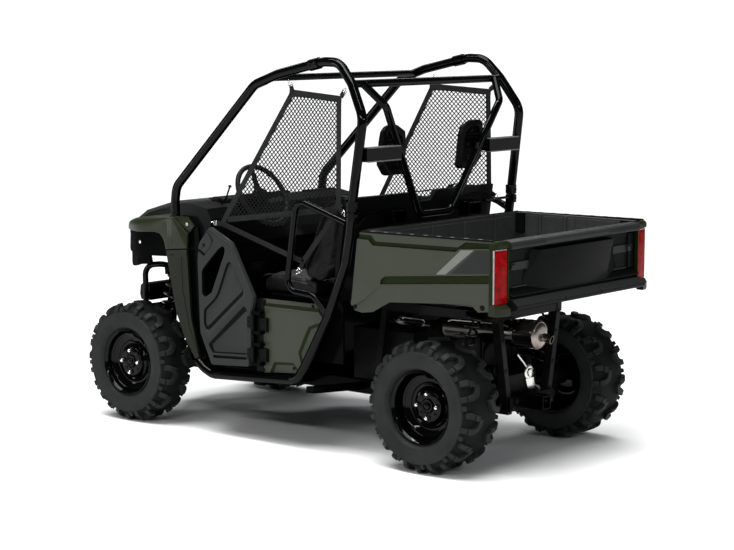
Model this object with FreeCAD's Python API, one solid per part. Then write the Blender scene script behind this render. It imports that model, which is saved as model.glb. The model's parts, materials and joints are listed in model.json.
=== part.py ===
import FreeCAD, Part
import os
import math
from FreeCAD import Vector as V

os.makedirs("parts", exist_ok=True)

# ------------------------------------------------------------------
# Two-seat utility side by side with a tilting cargo bed.
# Millimetres. +X is forward, +Y is the driver's (left) side, +Z is up,
# z = 0 is the ground under the tyres.  The geometry below is written
# from the middle of the wheelbase; DX moves it to the middle of the box.
# ------------------------------------------------------------------
DX = 70.0                    # middle of wheelbase -> middle of the box
WHEELBASE = 1855.0
XF = WHEELBASE / 2.0         # front axle
XR = -WHEELBASE / 2.0        # rear axle
TYRE_R = 297.0
WZ = TYRE_R                  # axle height
F_TYRE_W, F_TYRE_Y = 203.0, 527.0
R_TYRE_W, R_TYRE_Y = 254.0, 508.0
RIM_R = 152.0                # bead seat radius
LIP_R = 166.0
F_LIP_Y, R_LIP_Y = 618.0, 612.0
F_FACE_Y, R_FACE_Y = 585.0, 551.0     # nut seats of the wheel discs
PCD_R = 55.0
KING_Y = 470.0               # steering axis, distance from the middle
STEER_DEG = 28.0
CAGE_R = 22.0                # roll cage tube radius
SIDE_Y = 600.0               # middle of the rocker tube and lower pillar
BED_X0, BED_X1 = -580.0, -1285.0
BED_Y = 600.0
BED_TOP, BED_FLOOR = 1056.0, 783.0
BED_HINGE = (-1060.0, 705.0)
GATE_HINGE = (-1340.0, 818.0)
GATE_Y = 508.0               # half width of the tailgate, between the lamps
DOOR_HINGE = (58.0, 626.0)
HITCH_Z = 262.0


ST_C = (290.0, 300.0, 1147.0)      # middle of the steering wheel
ST_A = math.radians(30.0)          # the shaft runs forward and down at this angle
RACK_X, RACK_Z = XF - 96, WZ + 66


# ------------------------------------------------------------------ helpers
def box(x0, x1, y0, y1, z0, z1):
    x0, x1 = min(x0, x1), max(x0, x1)
    y0, y1 = min(y0, y1), max(y0, y1)
    z0, z1 = min(z0, z1), max(z0, z1)
    return Part.makeBox(x1 - x0, y1 - y0, z1 - z0, V(x0, y0, z0))


def cyl(a, b, r):
    a, b = V(*a), V(*b)
    return Part.makeCylinder(r, (b - a).Length, a, b - a)


def cone(a, b, r0, r1):
    a, b = V(*a), V(*b)
    return Part.makeCone(r0, r1, (b - a).Length, a, b - a)


def fuse(*shapes):
    s = shapes[0]
    if len(shapes) > 1:
        s = s.multiFuse(list(shapes[1:]))
    s = s.removeSplitter()
    return s


def mir(s):
    return s.mirror(V(0, 0, 0), V(0, 1, 0))


def both(s):
    return Part.makeCompound([s, mir(s)])


def tube(pts, r, bend=90.0):
    """Round tube along straight runs joined by tangent arcs."""
    P = [V(*p) for p in pts]
    n = len(P)
    cut = [0.0] * n
    rad = [0.0] * n
    for i in range(1, n - 1):
        d0 = (P[i] - P[i - 1])
        d1 = (P[i + 1] - P[i])
        a = d0.getAngle(d1)
        if a < 1e-4:
            continue
        t = bend * math.tan(a / 2)
        t = min(t, 0.45 * min(d0.Length, d1.Length))
        cut[i] = t
        rad[i] = t / math.tan(a / 2)
    out = []
    for i in range(n - 1):
        d = P[i + 1] - P[i]
        L = d.Length
        u = V(d).normalize()
        a = P[i] + u * cut[i]
        b = P[i + 1] - u * cut[i + 1]
        if (b - a).Length > 0.01:
            out.append(Part.makeCylinder(r, (b - a).Length, a, u))
        if i + 1 < n - 1 and cut[i + 1] > 0:
            w = V(P[i + 2] - P[i + 1]).normalize()
            nrm = u.cross(w).normalize()
            c = b + nrm.cross(u).normalize() * rad[i + 1]
            face = Part.Face(Part.Wire([Part.makeCircle(r, b, u)]))
            out.append(face.revolve(c, nrm, math.degrees(u.getAngle(w))))
    solids = []
    for s in out:
        solids.append(Part.Solid(s.Shells[0]) if s.ShapeType != "Solid" else s)
    return fuse(*solids)


def poly_xz(pts, y0, y1):
    """Prism of an x,z outline between two y planes."""
    w = Part.makePolygon([V(p[0], y0, p[1]) for p in pts] + [V(pts[0][0], y0, pts[0][1])])
    return Part.Face(w).extrude(V(0, y1 - y0, 0))


def poly_xy(pts, z0, z1):
    w = Part.makePolygon([V(p[0], p[1], z0) for p in pts] + [V(pts[0][0], pts[0][1], z0)])
    return Part.Face(w).extrude(V(0, 0, z1 - z0))


def poly_yz(pts, x0, x1):
    w = Part.makePolygon([V(x0, p[0], p[1]) for p in pts] + [V(x0, pts[0][0], pts[0][1])])
    return Part.Face(w).extrude(V(x1 - x0, 0, 0))


def ring(prof, x, z):
    """Solid of revolution about the Y line through x, z; prof is (y, radius)."""
    w = Part.makePolygon([V(x, p[0], z + p[1]) for p in prof] + [V(x, prof[0][0], z + prof[0][1])])
    return Part.Face(w).revolve(V(x, 0, z), V(0, 1, 0), 360)


def bar(a, b, w, h):
    """Square-section bar from a to b, w across (level), h high."""
    a, b = V(*a), V(*b)
    d = b - a
    L = d.Length
    d.normalize()
    side = V(0, 0, 1).cross(d)
    if side.Length < 1e-6:
        side = V(0, 1, 0)
    side.normalize()
    up = d.cross(side)
    c = [a + side * (sx * w / 2) + up * (sz * h / 2) for sx, sz in ((-1, -1), (1, -1), (1, 1), (-1, 1))]
    f = Part.Face(Part.makePolygon(c + [c[0]]))
    return f.extrude(d * L)


def loft_x(a, xa, b, xb):
    """Straight-sided solid between two outlines (y, z) at two stations along the car."""
    w = [Part.makePolygon([V(x, y, z) for y, z in q] + [V(x, q[0][0], q[0][1])]) for q, x in ((a, xa), (b, xb))]
    return Part.makeLoft(w, True, True)


def save(name, shape):
    s = shape.copy()
    s.translate(V(DX, 0, 0))
    sol = s.Solids
    if len(sol) == 1:
        s = sol[0]
    else:
        s = Part.makeCompound(sol)
    print(name, "solids", len(sol), "valid", s.isValid(), "vol", round(sum(q.Volume for q in sol) / 1e6, 3))
    s.exportStep("parts/%s.step" % name)


# ------------------------------------------------------------------ wheels
def tyre(x, yc, w, lip_y):
    h = w / 2.0
    b = lip_y - yc - 9.5                   # the beads sit inside the rolled lips
    prof = [(yc - b, RIM_R + 6), (yc - b, RIM_R + 16), (yc - h + 3, RIM_R + 30), (yc - h, 215), (yc - h + 2, 245),
            (yc - h + 9, 270), (yc - h + 26, 289), (yc - h + 44, TYRE_R - 1), (yc - 30, TYRE_R), (yc + 30, TYRE_R),
            (yc + h - 44, TYRE_R - 1), (yc + h - 26, 289), (yc + h - 9, 270), (yc + h - 2, 245),
            (yc + h, 215), (yc + h - 3, RIM_R + 30), (yc + b, RIM_R + 16), (yc + b, RIM_R + 6)]
    return ring(prof, x, WZ)


def rim(x, yc, lip_y, face_y):
    half = lip_y - yc
    i = yc - half
    # pressed steel barrel with a drop centre and rolled lips
    barrel = ring([(lip_y, LIP_R - 5), (lip_y - 3, LIP_R - 1), (lip_y - 7, LIP_R - 2), (lip_y - 9, RIM_R + 5.5),
                   (i + 9, RIM_R + 5.5), (i + 7, LIP_R - 2), (i + 3, LIP_R - 1), (i, LIP_R - 5),
                   (i + 5, RIM_R - 1), (i + 30, RIM_R - 3), (i + 45, RIM_R - 12), (face_y - 30, RIM_R - 12),
                   (face_y - 8, RIM_R - 8), (lip_y - 8, RIM_R - 3)], x, WZ)
    # disc with a raised bolt circle
    disc = ring([(face_y, 30), (face_y, 76), (face_y - 14, 88), (face_y - 18, 112), (face_y - 6, RIM_R - 6),
                 (face_y - 14, RIM_R - 4), (face_y - 26, 112), (face_y - 22, 84), (face_y - 7, 74), (face_y - 7, 30)], x, WZ)
    # hub flange and stub behind the disc, centre cap in front, four nuts
    hub = ring([(face_y - 60, 4), (face_y - 60, 34), (face_y - 18, 34), (face_y - 18, 70), (face_y - 7, 70),
                (face_y, 31), (face_y + 6, 30), (face_y + 13, 20), (face_y + 15, 4)], x, WZ)
    s = [barrel, disc, hub]
    for k in range(4):
        a = math.radians(90 * k)
        px, pz = x + PCD_R * math.cos(a), WZ + PCD_R * math.sin(a)
        s.append(cyl((px, face_y - 6, pz), (px, face_y + 20, pz), 10.5))
    return fuse(*s)


tf = tyre(XF, F_TYRE_Y, F_TYRE_W, F_LIP_Y)
tr = tyre(XR, R_TYRE_Y, R_TYRE_W, R_LIP_Y)
rf = rim(XF, F_TYRE_Y, F_LIP_Y, F_FACE_Y)
rr = rim(XR, R_TYRE_Y, R_LIP_Y, R_FACE_Y)
for side, f in (("left", lambda s: s), ("right", mir)):
    save("front_tyre_" + side, f(tf))
    save("rear_tyre_" + side, f(tr))
    save("front_rim_" + side, f(rf))
    save("rear_rim_" + side, f(rr))

# ------------------------------------------------------------------ knuckles
# front: upright on the steering axis, bearing housing towards the wheel,
# steering arm to the rear
fk = fuse(box(XF - 22, XF + 22, KING_Y - 16, KING_Y + 16, WZ - 78, WZ + 78),
          cyl((XF, KING_Y - 22, WZ), (XF, F_FACE_Y - 66, WZ), 42),
          cyl((XF, KING_Y, WZ - 92), (XF, KING_Y, WZ - 78), 15),
          cyl((XF, KING_Y, WZ + 78), (XF, KING_Y, WZ + 92), 15),
          poly_xy([(XF - 10, KING_Y - 14), (XF - 90, KING_Y - 26), (XF - 102, KING_Y - 18), (XF - 102, KING_Y - 2),
                   (XF - 90, KING_Y + 2), (XF - 10, KING_Y + 14)], WZ + 30, WZ + 44))
save("front_knuckle_left", fk)
save("front_knuckle_right", mir(fk))
# rear: bearing carrier with two arm lugs
rk = fuse(box(XR - 24, XR + 24, 400, 436, WZ - 87, WZ + 87), box(XR - 14, XR + 14, 404, 420, WZ - 93, WZ + 93),
          cyl((XR, 396, WZ), (XR, R_FACE_Y - 66, WZ), 44))
save("rear_knuckles", both(rk))

# ------------------------------------------------------------------ arms
def arm(xi0, xi1, xo, y0, y1, z0, z1, r):
    """A-arm: two legs from the frame eyes to one outer eye."""
    legs = [tube([(xi0, y0, z0), (xo - 14, y1, z1)], r), tube([(xi1, y0, z0), (xo + 14, y1, z1)], r)]
    eye = box(xo - 26, xo + 26, y1 - 14, y1 + 2, z1 - 13, z1 + 13)
    ends = [cyl((xi - 20, y0, z0), (xi + 20, y0, z0), r + 7) for xi in (xi0, xi1)]
    return fuse(*(legs + [eye] + ends))


def ball(x, y, z0, z1, inner):
    return fuse(cyl((x, y, z0), (x, y, z1), 14), box(x - 12, x + 12, inner, y, z0 + 1, z1 - 1))


fl = fuse(arm(XF - 125, XF + 125, XF, 190.5, KING_Y - 24, 262, WZ - 104, 13), ball(XF, KING_Y, WZ - 118, WZ - 93, KING_Y - 40),
          box(XF + 44, XF + 92, 328, 362, 212, 246))
fu = fuse(arm(XF - 125, XF - 30, XF - 8, 206, KING_Y - 24, 420, WZ + 104, 12), ball(XF, KING_Y, WZ + 93, WZ + 118, KING_Y - 40))
save("front_arms", Part.makeCompound([fl, mir(fl), fu, mir(fu)]))
rl = fuse(arm(XR - 130, XR + 130, XR, 198, 410, 262, WZ - 108, 14), box(XR + 32, XR + 78, 328, 362, 205, 246))
ru = arm(XR - 115, XR + 185, XR + 6, 226.5, 410, 430, WZ + 108, 13)
save("rear_arms", Part.makeCompound([rl, mir(rl), ru, mir(ru)]))

# ------------------------------------------------------------------ shocks
def shock(a, b, r):
    a, b = V(*a), V(*b)
    d = b - a
    L = d.Length
    u = V(d).normalize()

    def at(t):
        p = a + u * t
        return (p.x, p.y, p.z)
    s = [cyl((a.x - 14, a.y, a.z), (a.x + 14, a.y, a.z), 15), cyl((b.x - 14, b.y, b.z), (b.x + 14, b.y, b.z), 15),
         cyl(at(4), at(L - 4), 14), cyl(at(38), at(L * 0.72), r), cyl(at(30), at(42), r + 5), cyl(at(L * 0.72 - 4), at(L * 0.72 + 8), r + 5)]
    return fuse(*s)


F_SHOCK = ((905, 290, 745), (1000, 345, 262))
R_SHOCK = ((-1010, 298, 716), (-872, 345, 262))
sf = shock(F_SHOCK[0], F_SHOCK[1], 32)
sr = shock(R_SHOCK[0], R_SHOCK[1], 34)
save("shocks", Part.makeCompound([sf, mir(sf), sr, mir(sr)]))

# ------------------------------------------------------------------ driveline
fd = fuse(box(XF - 95, XF + 85, -95, 95, 236, 338), cyl((XF, -120, WZ), (XF, 120, WZ), 58),
          cyl((XF - 160, 0, 293), (XF - 60, 0, 293), 34), cyl((-196, 0, 293), (XF - 150, 0, 293), 14))
fh = fuse(cone((XF, 122, WZ), (XF, 182, WZ), 46, 22), cyl((XF, 118, WZ), (XF, 416, WZ), 12.5), cone((XF, 358, WZ), (XF, 418, WZ), 22, 34))
save("front_driveline", fuse(fd, fh, mir(fh)))
rd = fuse(box(XR - 110, XR + 120, -110, 110, 226, 380), cyl((XR, -135, WZ), (XR, 135, WZ), 66),
          cyl((XR + 100, 0, 293), (XR + 190, 0, 293), 40), cyl((XR + 180, 0, 293), (-560, 0, 293), 18),
          cyl((XR - 20, -134, 340), (XR - 20, -106, 340), 78), box(XR - 64, XR + 10, -150, -108, 392, 440))
rh = fuse(cone((XR, 136, WZ), (XR, 200, WZ), 50, 24), cyl((XR, 130, WZ), (XR, 360, WZ), 14), cone((XR, 330, WZ), (XR, 395, WZ), 24, 40))
save("rear_driveline", fuse(rd, rh, mir(rh)))
# long shaft from the engine to the front case

# ------------------------------------------------------------------ engine
save("engine_block", fuse(box(-560, -196, -190, 190, 290, 540), box(-500, -300, -120, 120, 540, 690)))
# exhaust: pipe from the head, long can with a cone and a tail spout


def can(x):
    """Point on the axis of the exhaust can."""
    t = x + 1150.0
    return (x, 78.0 + 0.0487 * t, 583.0 - 0.01106 * t)


ex = tube([(-340, 121, 625), (-340, 160, 625), (-385, 190, 606), (-480, 180, 592), can(-560), can(-606)], 24, 60)
ex = fuse(ex, cone(can(-606), can(-700), 24, 58), cone(can(-700), can(-1190), 58, 66), cone(can(-1190), can(-1206), 66, 52),
          cyl((-1180, 58, 576), (-1240, 46, 562), 20))
save("exhaust", ex)

# ------------------------------------------------------------------ frame
lf = [box(-620, 760, 150, 200, 228, 286), box(-620, 760, -200, -150, 228, 286)]
for x in (-620, -180, 330, 720):
    lf.append(box(x, x + 40, -200, 200, 232, 273))
lf.append(box(-620, 760, -200, 200, 222, 230))
save("lower_frame", fuse(*lf))
og = []
for x in (-250, 80, 360):
    og.append(bar((x, 203, 258), (x, 572, 290), 44, 30))
save("frame_outriggers", Part.makeCompound([q for o in og for q in (o, mir(o))]))

# front frame: four uprights, top and bottom rails, shock towers, pillar feet
ff = []
for sy in (1, -1):
    ff.append(box(761, 1150, sy * 136, sy * 168, 222, 256))
    ff.append(bar((787, sy * 152, 250), (700, sy * 152, 728), 36, 36))
    ff.append(bar((1090, sy * 152, 250), (1046, sy * 160, 708), 36, 36))
    ff.append(bar((600, sy * 160, 742), (1096, sy * 160, 700), 36, 40))
    ff.append(box(889, 921, sy * 150, sy * 274.5, 722, 762))
    ff.append(box(XF - 150, XF - 5, sy * 150, sy * 186.5, 402, 438))
    ff.append(bar((XF - 150, sy * 168, 420), (1070, sy * 168, 420), 34, 30))
    ff.append(tube([(641, sy * 543, 999), (637, sy * 541, 900), (621, sy * 535, 750)], CAGE_R, 90))
for x in (765, 1112):
    ff.append(box(x, x + 36, -150, 150, 224, 254))
ff.append(box(1072, 1104, -160, 160, 684, 716))
ff.append(box(602, 640, -545, 545, 722, 760))
save("front_frame", fuse(*ff))

# rear frame: rails back from the engine, flat uprights, bed pivots, cross tubes
rfm = []
for sy in (1, -1):
    rfm.append(box(-1090, -620.5, sy * 140, sy * 172, 218, 246))
    rfm.append(bar((-1067, sy * 150, 236), (-1067, sy * 235, 688), 42, 30))
    rfm.append(bar((-383, sy * 240, 246), (-440, sy * 240, 688), 30, 30))
    rfm.append(box(-1085, -420, sy * 222, sy * 256, 648, 690))
    rfm.append(box(-400, -366, sy * 200.5, sy * 250, 232, 284))
    rfm.append(box(-1026, -994, sy * 222, sy * 282.5, 692, 730))
    rfm.append(box(-1026, -994, sy * 222, sy * 256, 684, 700))
    # pivots of the bed
    rfm.append(box(BED_HINGE[0] - 15, BED_HINGE[0] + 15, sy * 150, sy * 168, 680, BED_HINGE[1]))
    rfm.append(cyl((BED_HINGE[0], sy * 150, BED_HINGE[1]), (BED_HINGE[0], sy * 168, BED_HINGE[1]), 15))
rfm.append(box(-1080, -1040, -150, 150, 226, 262))
rfm.append(box(-660, -622, -256, 256, 650, 688))
rfm.append(box(-1085, -1042, -256, 256, 652, 686))
rfm.append(box(-740, -700, -150, 150, 218, 246))
# hitch: square receiver, 50.8 mm inside, with its cross plate
hr = box(-1184, -1039, -32, 32, HITCH_Z - 32, HITCH_Z + 32).cut(box(-1190, -1046, -25.4, 25.4, HITCH_Z - 25.4, HITCH_Z + 25.4))
hr = hr.cut(cyl((-1160, -40, HITCH_Z), (-1160, 40, HITCH_Z), 8.0))
hp = box(-1102, -1090.5, -172, 172, 232, 296).cut(box(-1110, -1080, -32, 32, HITCH_Z - 32, HITCH_Z + 32))
rfs = fuse(*rfm)
rfs = rfs.cut(box(-1190, -1038.5, -32.5, 32.5, HITCH_Z - 32.5, HITCH_Z + 32.5))
save("rear_frame", rfs)
save("hitch_receiver", fuse(hr, hp))

# ------------------------------------------------------------------ floor
fp = [box(-120, 530, -560, 560, 312, 324)]
fp.append(box(-120, 530, -560, -548, 312, 344))
fp.append(box(-120, 530, 548, 560, 312, 344))
fp.append(poly_xz([(516, 312), (530, 312), (600, 560), (616, 719.5), (604, 719.5), (588, 564)], -560, 560))
fp.append(box(42, 530, -70, 70, 324, 372))
AX = (-math.cos(ST_A), 0.0, math.sin(ST_A))


def on_shaft(t):
    return (ST_C[0] + AX[0] * t, ST_C[1] + AX[1] * t, ST_C[2] + AX[2] * t)


save("floor_pan", fuse(*fp))

# ------------------------------------------------------------------ roll cage
def p3(lst, y):
    return [(x, y, z) for x, z in lst]


FH = p3([(641, 1010), (644, 1118), (634, 1184), (110, 1690), (-40, 1742), (-232, 1784)], 543)
fhoop = tube(FH, CAGE_R, 120)
foot = cyl((641, 543, 1000), (641, 543, 1060), 27)
fcross = tube([(20, -545, 1722), (20, 545, 1722)], 16)
gus = poly_xz([(150, 1652), (170, 1640), (60, 1716), (-20, 1742), (-30, 1722), (40, 1690)], 537, 549)
save("cage_front", fuse(fhoop, mir(fhoop), foot, mir(foot), fcross, gus, mir(gus)))

RH = [(-233, 540, 1784), (-320, 541, 1802), (-412, 545, 1800), (-500, 562, 1706), (-592, 596, 1560), (-534, 608, 1138)]
rhoop = tube(RH, CAGE_R, 110)
rhoop = fuse(rhoop, cyl((-536, 608, 1140), (-536, 608, 1182), 27), cyl((-234, 540, 1784.5), (-290, 541, 1796), 27))
save("cage_rear_left", rhoop)
save("cage_rear_right", mir(rhoop))
rb = [tube([(-500, -548, 1706), (-500, 548, 1706)], 18)]
vb = tube([(-512, 497, 1704), (-590, 432, 1604), (-532, 118, 1090), (-532, -118, 1090), (-590, -432, 1604), (-512, -497, 1704)], 18, 45)
rb.append(vb)
for sy in (1, -1):
    rb.append(box(-604, -556, sy * 336, sy * 583, 1366, 1420))
    rb.append(box(-576, -542, sy * 270, sy * 345, 1378, 1408))
save("cage_rear_brace", fuse(*rb).cut(rhoop).cut(mir(rhoop)))

# lower cage: pillar foot, rocker tube, hip guard
lp = tube([(-536, 608, 1134), (-524, 606, 1040), (-497, 604, 905), (-392, 601, 655), (-250, 600, 410), (-196, 600, 332), (100, 600, 314), (345, 600, 300), (404, 600, 325), (440, 600, 352)], CAGE_R, 90)
lp = fuse(lp, cyl((-536, 608, 1098), (-537, 608, 1135), 27))
hg = tube([(-500, 602, 1085), (-232, 600, 1166), (-192, 600, 1140), (-140, 600, 790), (-172, 600, 748), (-300, 600, 738), (-388, 601, 652)], 15, 45)
low = fuse(lp, hg)
save("cage_lower_left", low)
save("cage_lower_right", mir(low))


# ------------------------------------------------------------------ seats
sb = fuse(box(-410, 40, -520, 520, 700, 712), box(28, 40, -520, 520, 325, 712),
          box(-410, 40, 508, 520, 420, 712), box(-410, 40, -520, -508, 420, 712))
save("seat_box", sb)
cush = fuse(poly_xz([(-250, 716), (100, 716), (112, 740), (104, 780), (60, 800), (-250, 770)], 60, 520))
save("seat_cushions", both(cush))
back = poly_xz([(-252, 774), (-160, 790), (-150, 830), (-290, 1154), (-318, 1170), (-360, 1162), (-296, 830)], 75, 505)
save("seat_backs", both(back))
shell = poly_xz([(-412, 713), (-398, 713), (-398, 900), (-443, 1188), (-463, 1186), (-424, 900)], -560, 560)
shell = shell.cut(poly_yz([(-112, 1200), (-66, 1140), (66, 1140), (112, 1200)], -500, -380))
save("rear_shell", shell)
hdr = poly_xz([(-529, 1290), (-547, 1500), (-536, 1522), (-506, 1520), (-480, 1470), (-466, 1300), (-480, 1278), (-516, 1276)], 208, 388)
save("headrests", both(hdr))
# belt: shoulder run and lap run beside each seat
belt = bar((-279, 440, 1160), (-138, 440, 834), 46, 3)
save("seat_belts", both(belt))

# ------------------------------------------------------------------ nets
net = poly_xz([(-106, 1665), (-431, 1645), (-438, 1160), (-386, 1064), (-210, 866), (309, 1018), (309, 1034)], 570, 574)
net = net.cut(poly_xz([(-352, 1106), (-330, 1062), (-206, 906), (200, 1026), (195, 1040), (-140, 1036)], 560, 580))
save("side_nets", both(net))

# ------------------------------------------------------------------ body panels
# side panel under the seat, with the vertical hinge post at its front
sp = poly_xz([(60, 695), (-400, 714), (-351, 622), (-234, 412), (-191, 360), (60, 345)], 574, 592)
sp = fuse(sp, box(46, 64, 540, 592, 345, 690))
PILL = tube([(-524, 606, 1040), (-497, 604, 905), (-392, 601, 655), (-250, 600, 410), (-196, 600, 332), (100, 600, 314), (345, 600, 300)], CAGE_R + 1.5, 90)
sp = sp.cut(PILL).cut(tube([(-140, 600, 790), (-172, 600, 748), (-300, 600, 738), (-388, 601, 652), (-392, 601, 640)], 17, 45))
sp = max(sp.Solids, key=lambda q: q.Volume)
save("seat_side_panels", both(sp))

# kick panel between the front fender strip and the door opening
kp = poly_xz([(575, 1006), (460, 1000), (448, 890), (452, 520), (400, 345), (447, 345), (530, 480), (590, 640), (600, 960)], 562, 576)
save("kick_panels", both(kp))

# front fenders: top skirt, outer wall and the strip down behind the wheel
def fender():
    plan = [(520, 604), (800, 600), (900, 572), (1000, 512), (1100, 420), (1196, 328), (1196, 300), (1090, 400),
            (990, 494), (895, 550), (800, 578), (520, 582)]
    strip = poly_xz([(520, 1010), (520, 880), (506, 700), (482, 500), (428, 378), (470, 378), (532, 470), (592, 600), (634, 760), (656, 888), (700, 930), (700, 1010)], 586, 604)
    top2 = poly_xz([(520, 1044), (760, 1038), (1000, 1008), (1196, 966), (1190, 952), (1000, 994), (760, 1024), (520, 1030)], 300, 604)
    plan2 = poly_xy([(520, 604), (800, 600), (900, 572), (1000, 512), (1100, 420), (1196, 328), (1196, 300), (520, 300)], 700, 1200)
    return fuse(top2.common(plan2), poly_xy(plan, 880, 1060).common(poly_xz([(664, 880), (1200, 880), (1200, 960), (1000, 1002), (760, 1032), (520, 1038), (520, 920), (640, 920)], 0, 700)), strip)


HL = poly_xy([(1204, 246), (1222, 246), (1192, 322), (1110, 404), (1100, 396), (1170, 312)], 884, 934)
HLC = poly_xy([(1190, 244), (1240, 244), (1200, 326), (1112, 410), (1096, 398), (1160, 306)], 882, 936)
fen = fender().cut(box(380, 674, 200, 572, 860, 1200)).cut(HLC)
fen = max(fen.Solids, key=lambda q: q.Volume)
save("front_fenders", both(fen))

# black side of the nose below the fender skirt
nose_plan = [(700, 592), (790, 592), (893, 562), (993, 503), (1093, 411), (1186, 319), (1228, 240), (1236, 0),
             (1216, 0), (1208, 232), (1170, 308), (1080, 398), (983, 487), (888, 544), (790, 574), (700, 574)]
nose = poly_xy(nose_plan, 770, 879)
nose = nose.common(poly_xz([(790, 879), (770, 800), (860, 790), (950, 770), (1260, 770), (1260, 879)], 0, 700))
nose = fuse(nose, mir(nose))
nose = fuse(nose, box(1204, 1236, -232, 232, 768, 880))
save("front_fascia", nose)
save("headlights", both(HL))

# hood, from the cowl to the nose
hood = poly_xz([(650, 1106), (900, 1082), (1100, 1024), (1200, 960), (1240, 890), (1228, 886), (1190, 948), (1094, 1008), (898, 1066), (650, 1090)], -292, 292)
hood = hood.cut(HLC).cut(mir(HLC))
save("hood", max(hood.Solids, key=lambda q: q.Volume))

# front guard: two legs, bent back to the frame, and cross tube
bg = tube([(1122, 262, 300), (1126, 285, 470), (1130, 285, 735), (1018, 262, 750), (1018, 186, 720)], 15, 60)
bgx = cyl((1130, -285, 520), (1130, 285, 520), 14)
bgl = cyl((1122, -262, 300), (1122, 262, 300), 15)
bgb = [box(1108, 1124, sy * 140, sy * 166, 284, 316) for sy in (1, -1)]
bmp = poly_xz([(1116, 552), (1186, 552), (1196, 580), (1190, 626), (1172, 638), (1116, 638)], -262, 262)
bmc = [box(1116, 1150, sy * 240, sy * 285, 566, 596) for sy in (1, -1)]
save("front_guard", fuse(bg, bgx, bgl, bmp, *bmc, *bgb, mir(bg)))

# dash: a hollow cowl across the car behind the hood
dash_o = poly_xz([(648, 1100), (520, 1108), (420, 1090), (392, 1040), (400, 960), (470, 900), (640, 880)], -555, 555)
dash_i = poly_xz([(636, 1086), (524, 1094), (430, 1078), (406, 1038), (414, 968), (476, 914), (636, 896)], -540, 540)
wall = poly_xz([(606, 763), (618, 763), (636, 882), (624, 884)], -505, 505)   # closes the front of the cab under the dash
dash = fuse(dash_o.cut(dash_i), wall)
dash = dash.cut(box(600, 660, 500, 600, 860, 1130)).cut(box(600, 660, -600, -500, 860, 1130))
dash = dash.cut(cyl(on_shaft(-90), on_shaft(-480), 40))
save("dashboard", dash)

# ------------------------------------------------------------------ steering
ax = AX
col = fuse(cyl(on_shaft(-46), on_shaft(-130), 32), cyl(on_shaft(-120), on_shaft(-480), 13),
           tube([on_shaft(-470), on_shaft(-486), (RACK_X, 112, RACK_Z + 50), (RACK_X, 110, RACK_Z + 24)], 12, 20))
save("steering_column", col)
wheel = Part.makeTorus(154, 13, V(*ST_C), V(*ax))
hubw = cyl(on_shaft(-34), on_shaft(6), 46)
sp3 = [wheel, hubw]
e1 = V(0, 1, 0)
e2 = V(*ax).cross(e1)
for deg in (0, 180, 270):
    a = math.radians(deg)
    d = e1 * math.cos(a) + e2 * math.sin(a)
    p = V(*on_shaft(-14))
    q = V(*on_shaft(0)) + d * 154
    sp3.append(bar((p.x, p.y, p.z), (q.x, q.y, q.z), 30, 10))
sp3.append(cyl(on_shaft(-44), on_shaft(-30), 24))
save("steering_wheel", fuse(*sp3))
# rack housing across the front frame, and the sliding bar with its tie rods
rk_h = fuse(box(RACK_X - 24, RACK_X + 24, -150, 150, RACK_Z - 22, RACK_Z + 22).cut(cyl((RACK_X, -160, RACK_Z), (RACK_X, 160, RACK_Z), 10.5)))
save("steering_rack", rk_h)
tie = fuse(cyl((RACK_X, -236, RACK_Z), (RACK_X, 236, RACK_Z), 10), tube([(RACK_X, 230, RACK_Z), (RACK_X, KING_Y - 12, RACK_Z)], 9),
           tube([(RACK_X, -230, RACK_Z), (RACK_X, -KING_Y + 12, RACK_Z)], 9))
save("tie_rods", tie)

# ------------------------------------------------------------------ doors
D_OUT = [(334, 1014), (193, 947), (50, 702), (72, 606), (72, 470), (84, 440), (87, 369), (330, 352), (403, 500), (417, 843), (411, 917), (400, 939)]
D_HOLE = [(249, 931), (235, 914), (241, 889), (326, 700), (366, 674), (389, 686), (390, 798), (378, 816), (283, 910)]
door = poly_xz(D_OUT, 604, 624)
hole = poly_xz(D_HOLE, 590, 640)
door = door.cut(hole)
hx, hy = DOOR_HINGE
door = door.cut(box(40, hx + 14, 612, 640, 614, 643))   # room for the fixed knuckle over the upper barrel
hinge = []
for z0, z1 in ((395, 470), (545, 620)):
    hinge.append(cyl((hx, hy, z0), (hx, hy, z1), 8))
    hinge.append(box(hx, hx + 60, 616, 630, z0 + 8, z1 - 8))
door = fuse(door, *hinge)
save("door_left", door)
save("door_right", mir(door))
# fixed hinge leaves on the panel side, round pins above and below the door barrels
hl_f = []
for z0, z1 in ((395, 470), (545, 620)):
    lug = fuse(cyl((hx, hy, z1 + 1), (hx, hy, z1 + 17), 8), box(hx - 42, hx, hy - 5, hy + 3, z1 + 2, z1 + 16), box(hx - 48, hx - 30, 592, hy + 3, z1 + 2, z1 + 16))
    lug2 = fuse(cyl((hx, hy, z0 - 17), (hx, hy, z0 - 1), 8), box(hx - 42, hx, hy - 5, hy + 3, z0 - 16, z0 - 2), box(hx - 48, hx - 30, 592, hy + 3, z0 - 16, z0 - 2))
    hl_f += [lug, lug2]
save("door_hinges", Part.makeCompound([q for h in hl_f for q in (h, mir(h))]))

# ------------------------------------------------------------------ cargo bed
bedt = box(BED_X0, BED_X1, -588, 588, BED_FLOOR - 15, BED_TOP)
bedt = bedt.cut(box(BED_X0 - 30, BED_X1 - 30, -555, 555, BED_FLOOR, BED_TOP + 20))
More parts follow.
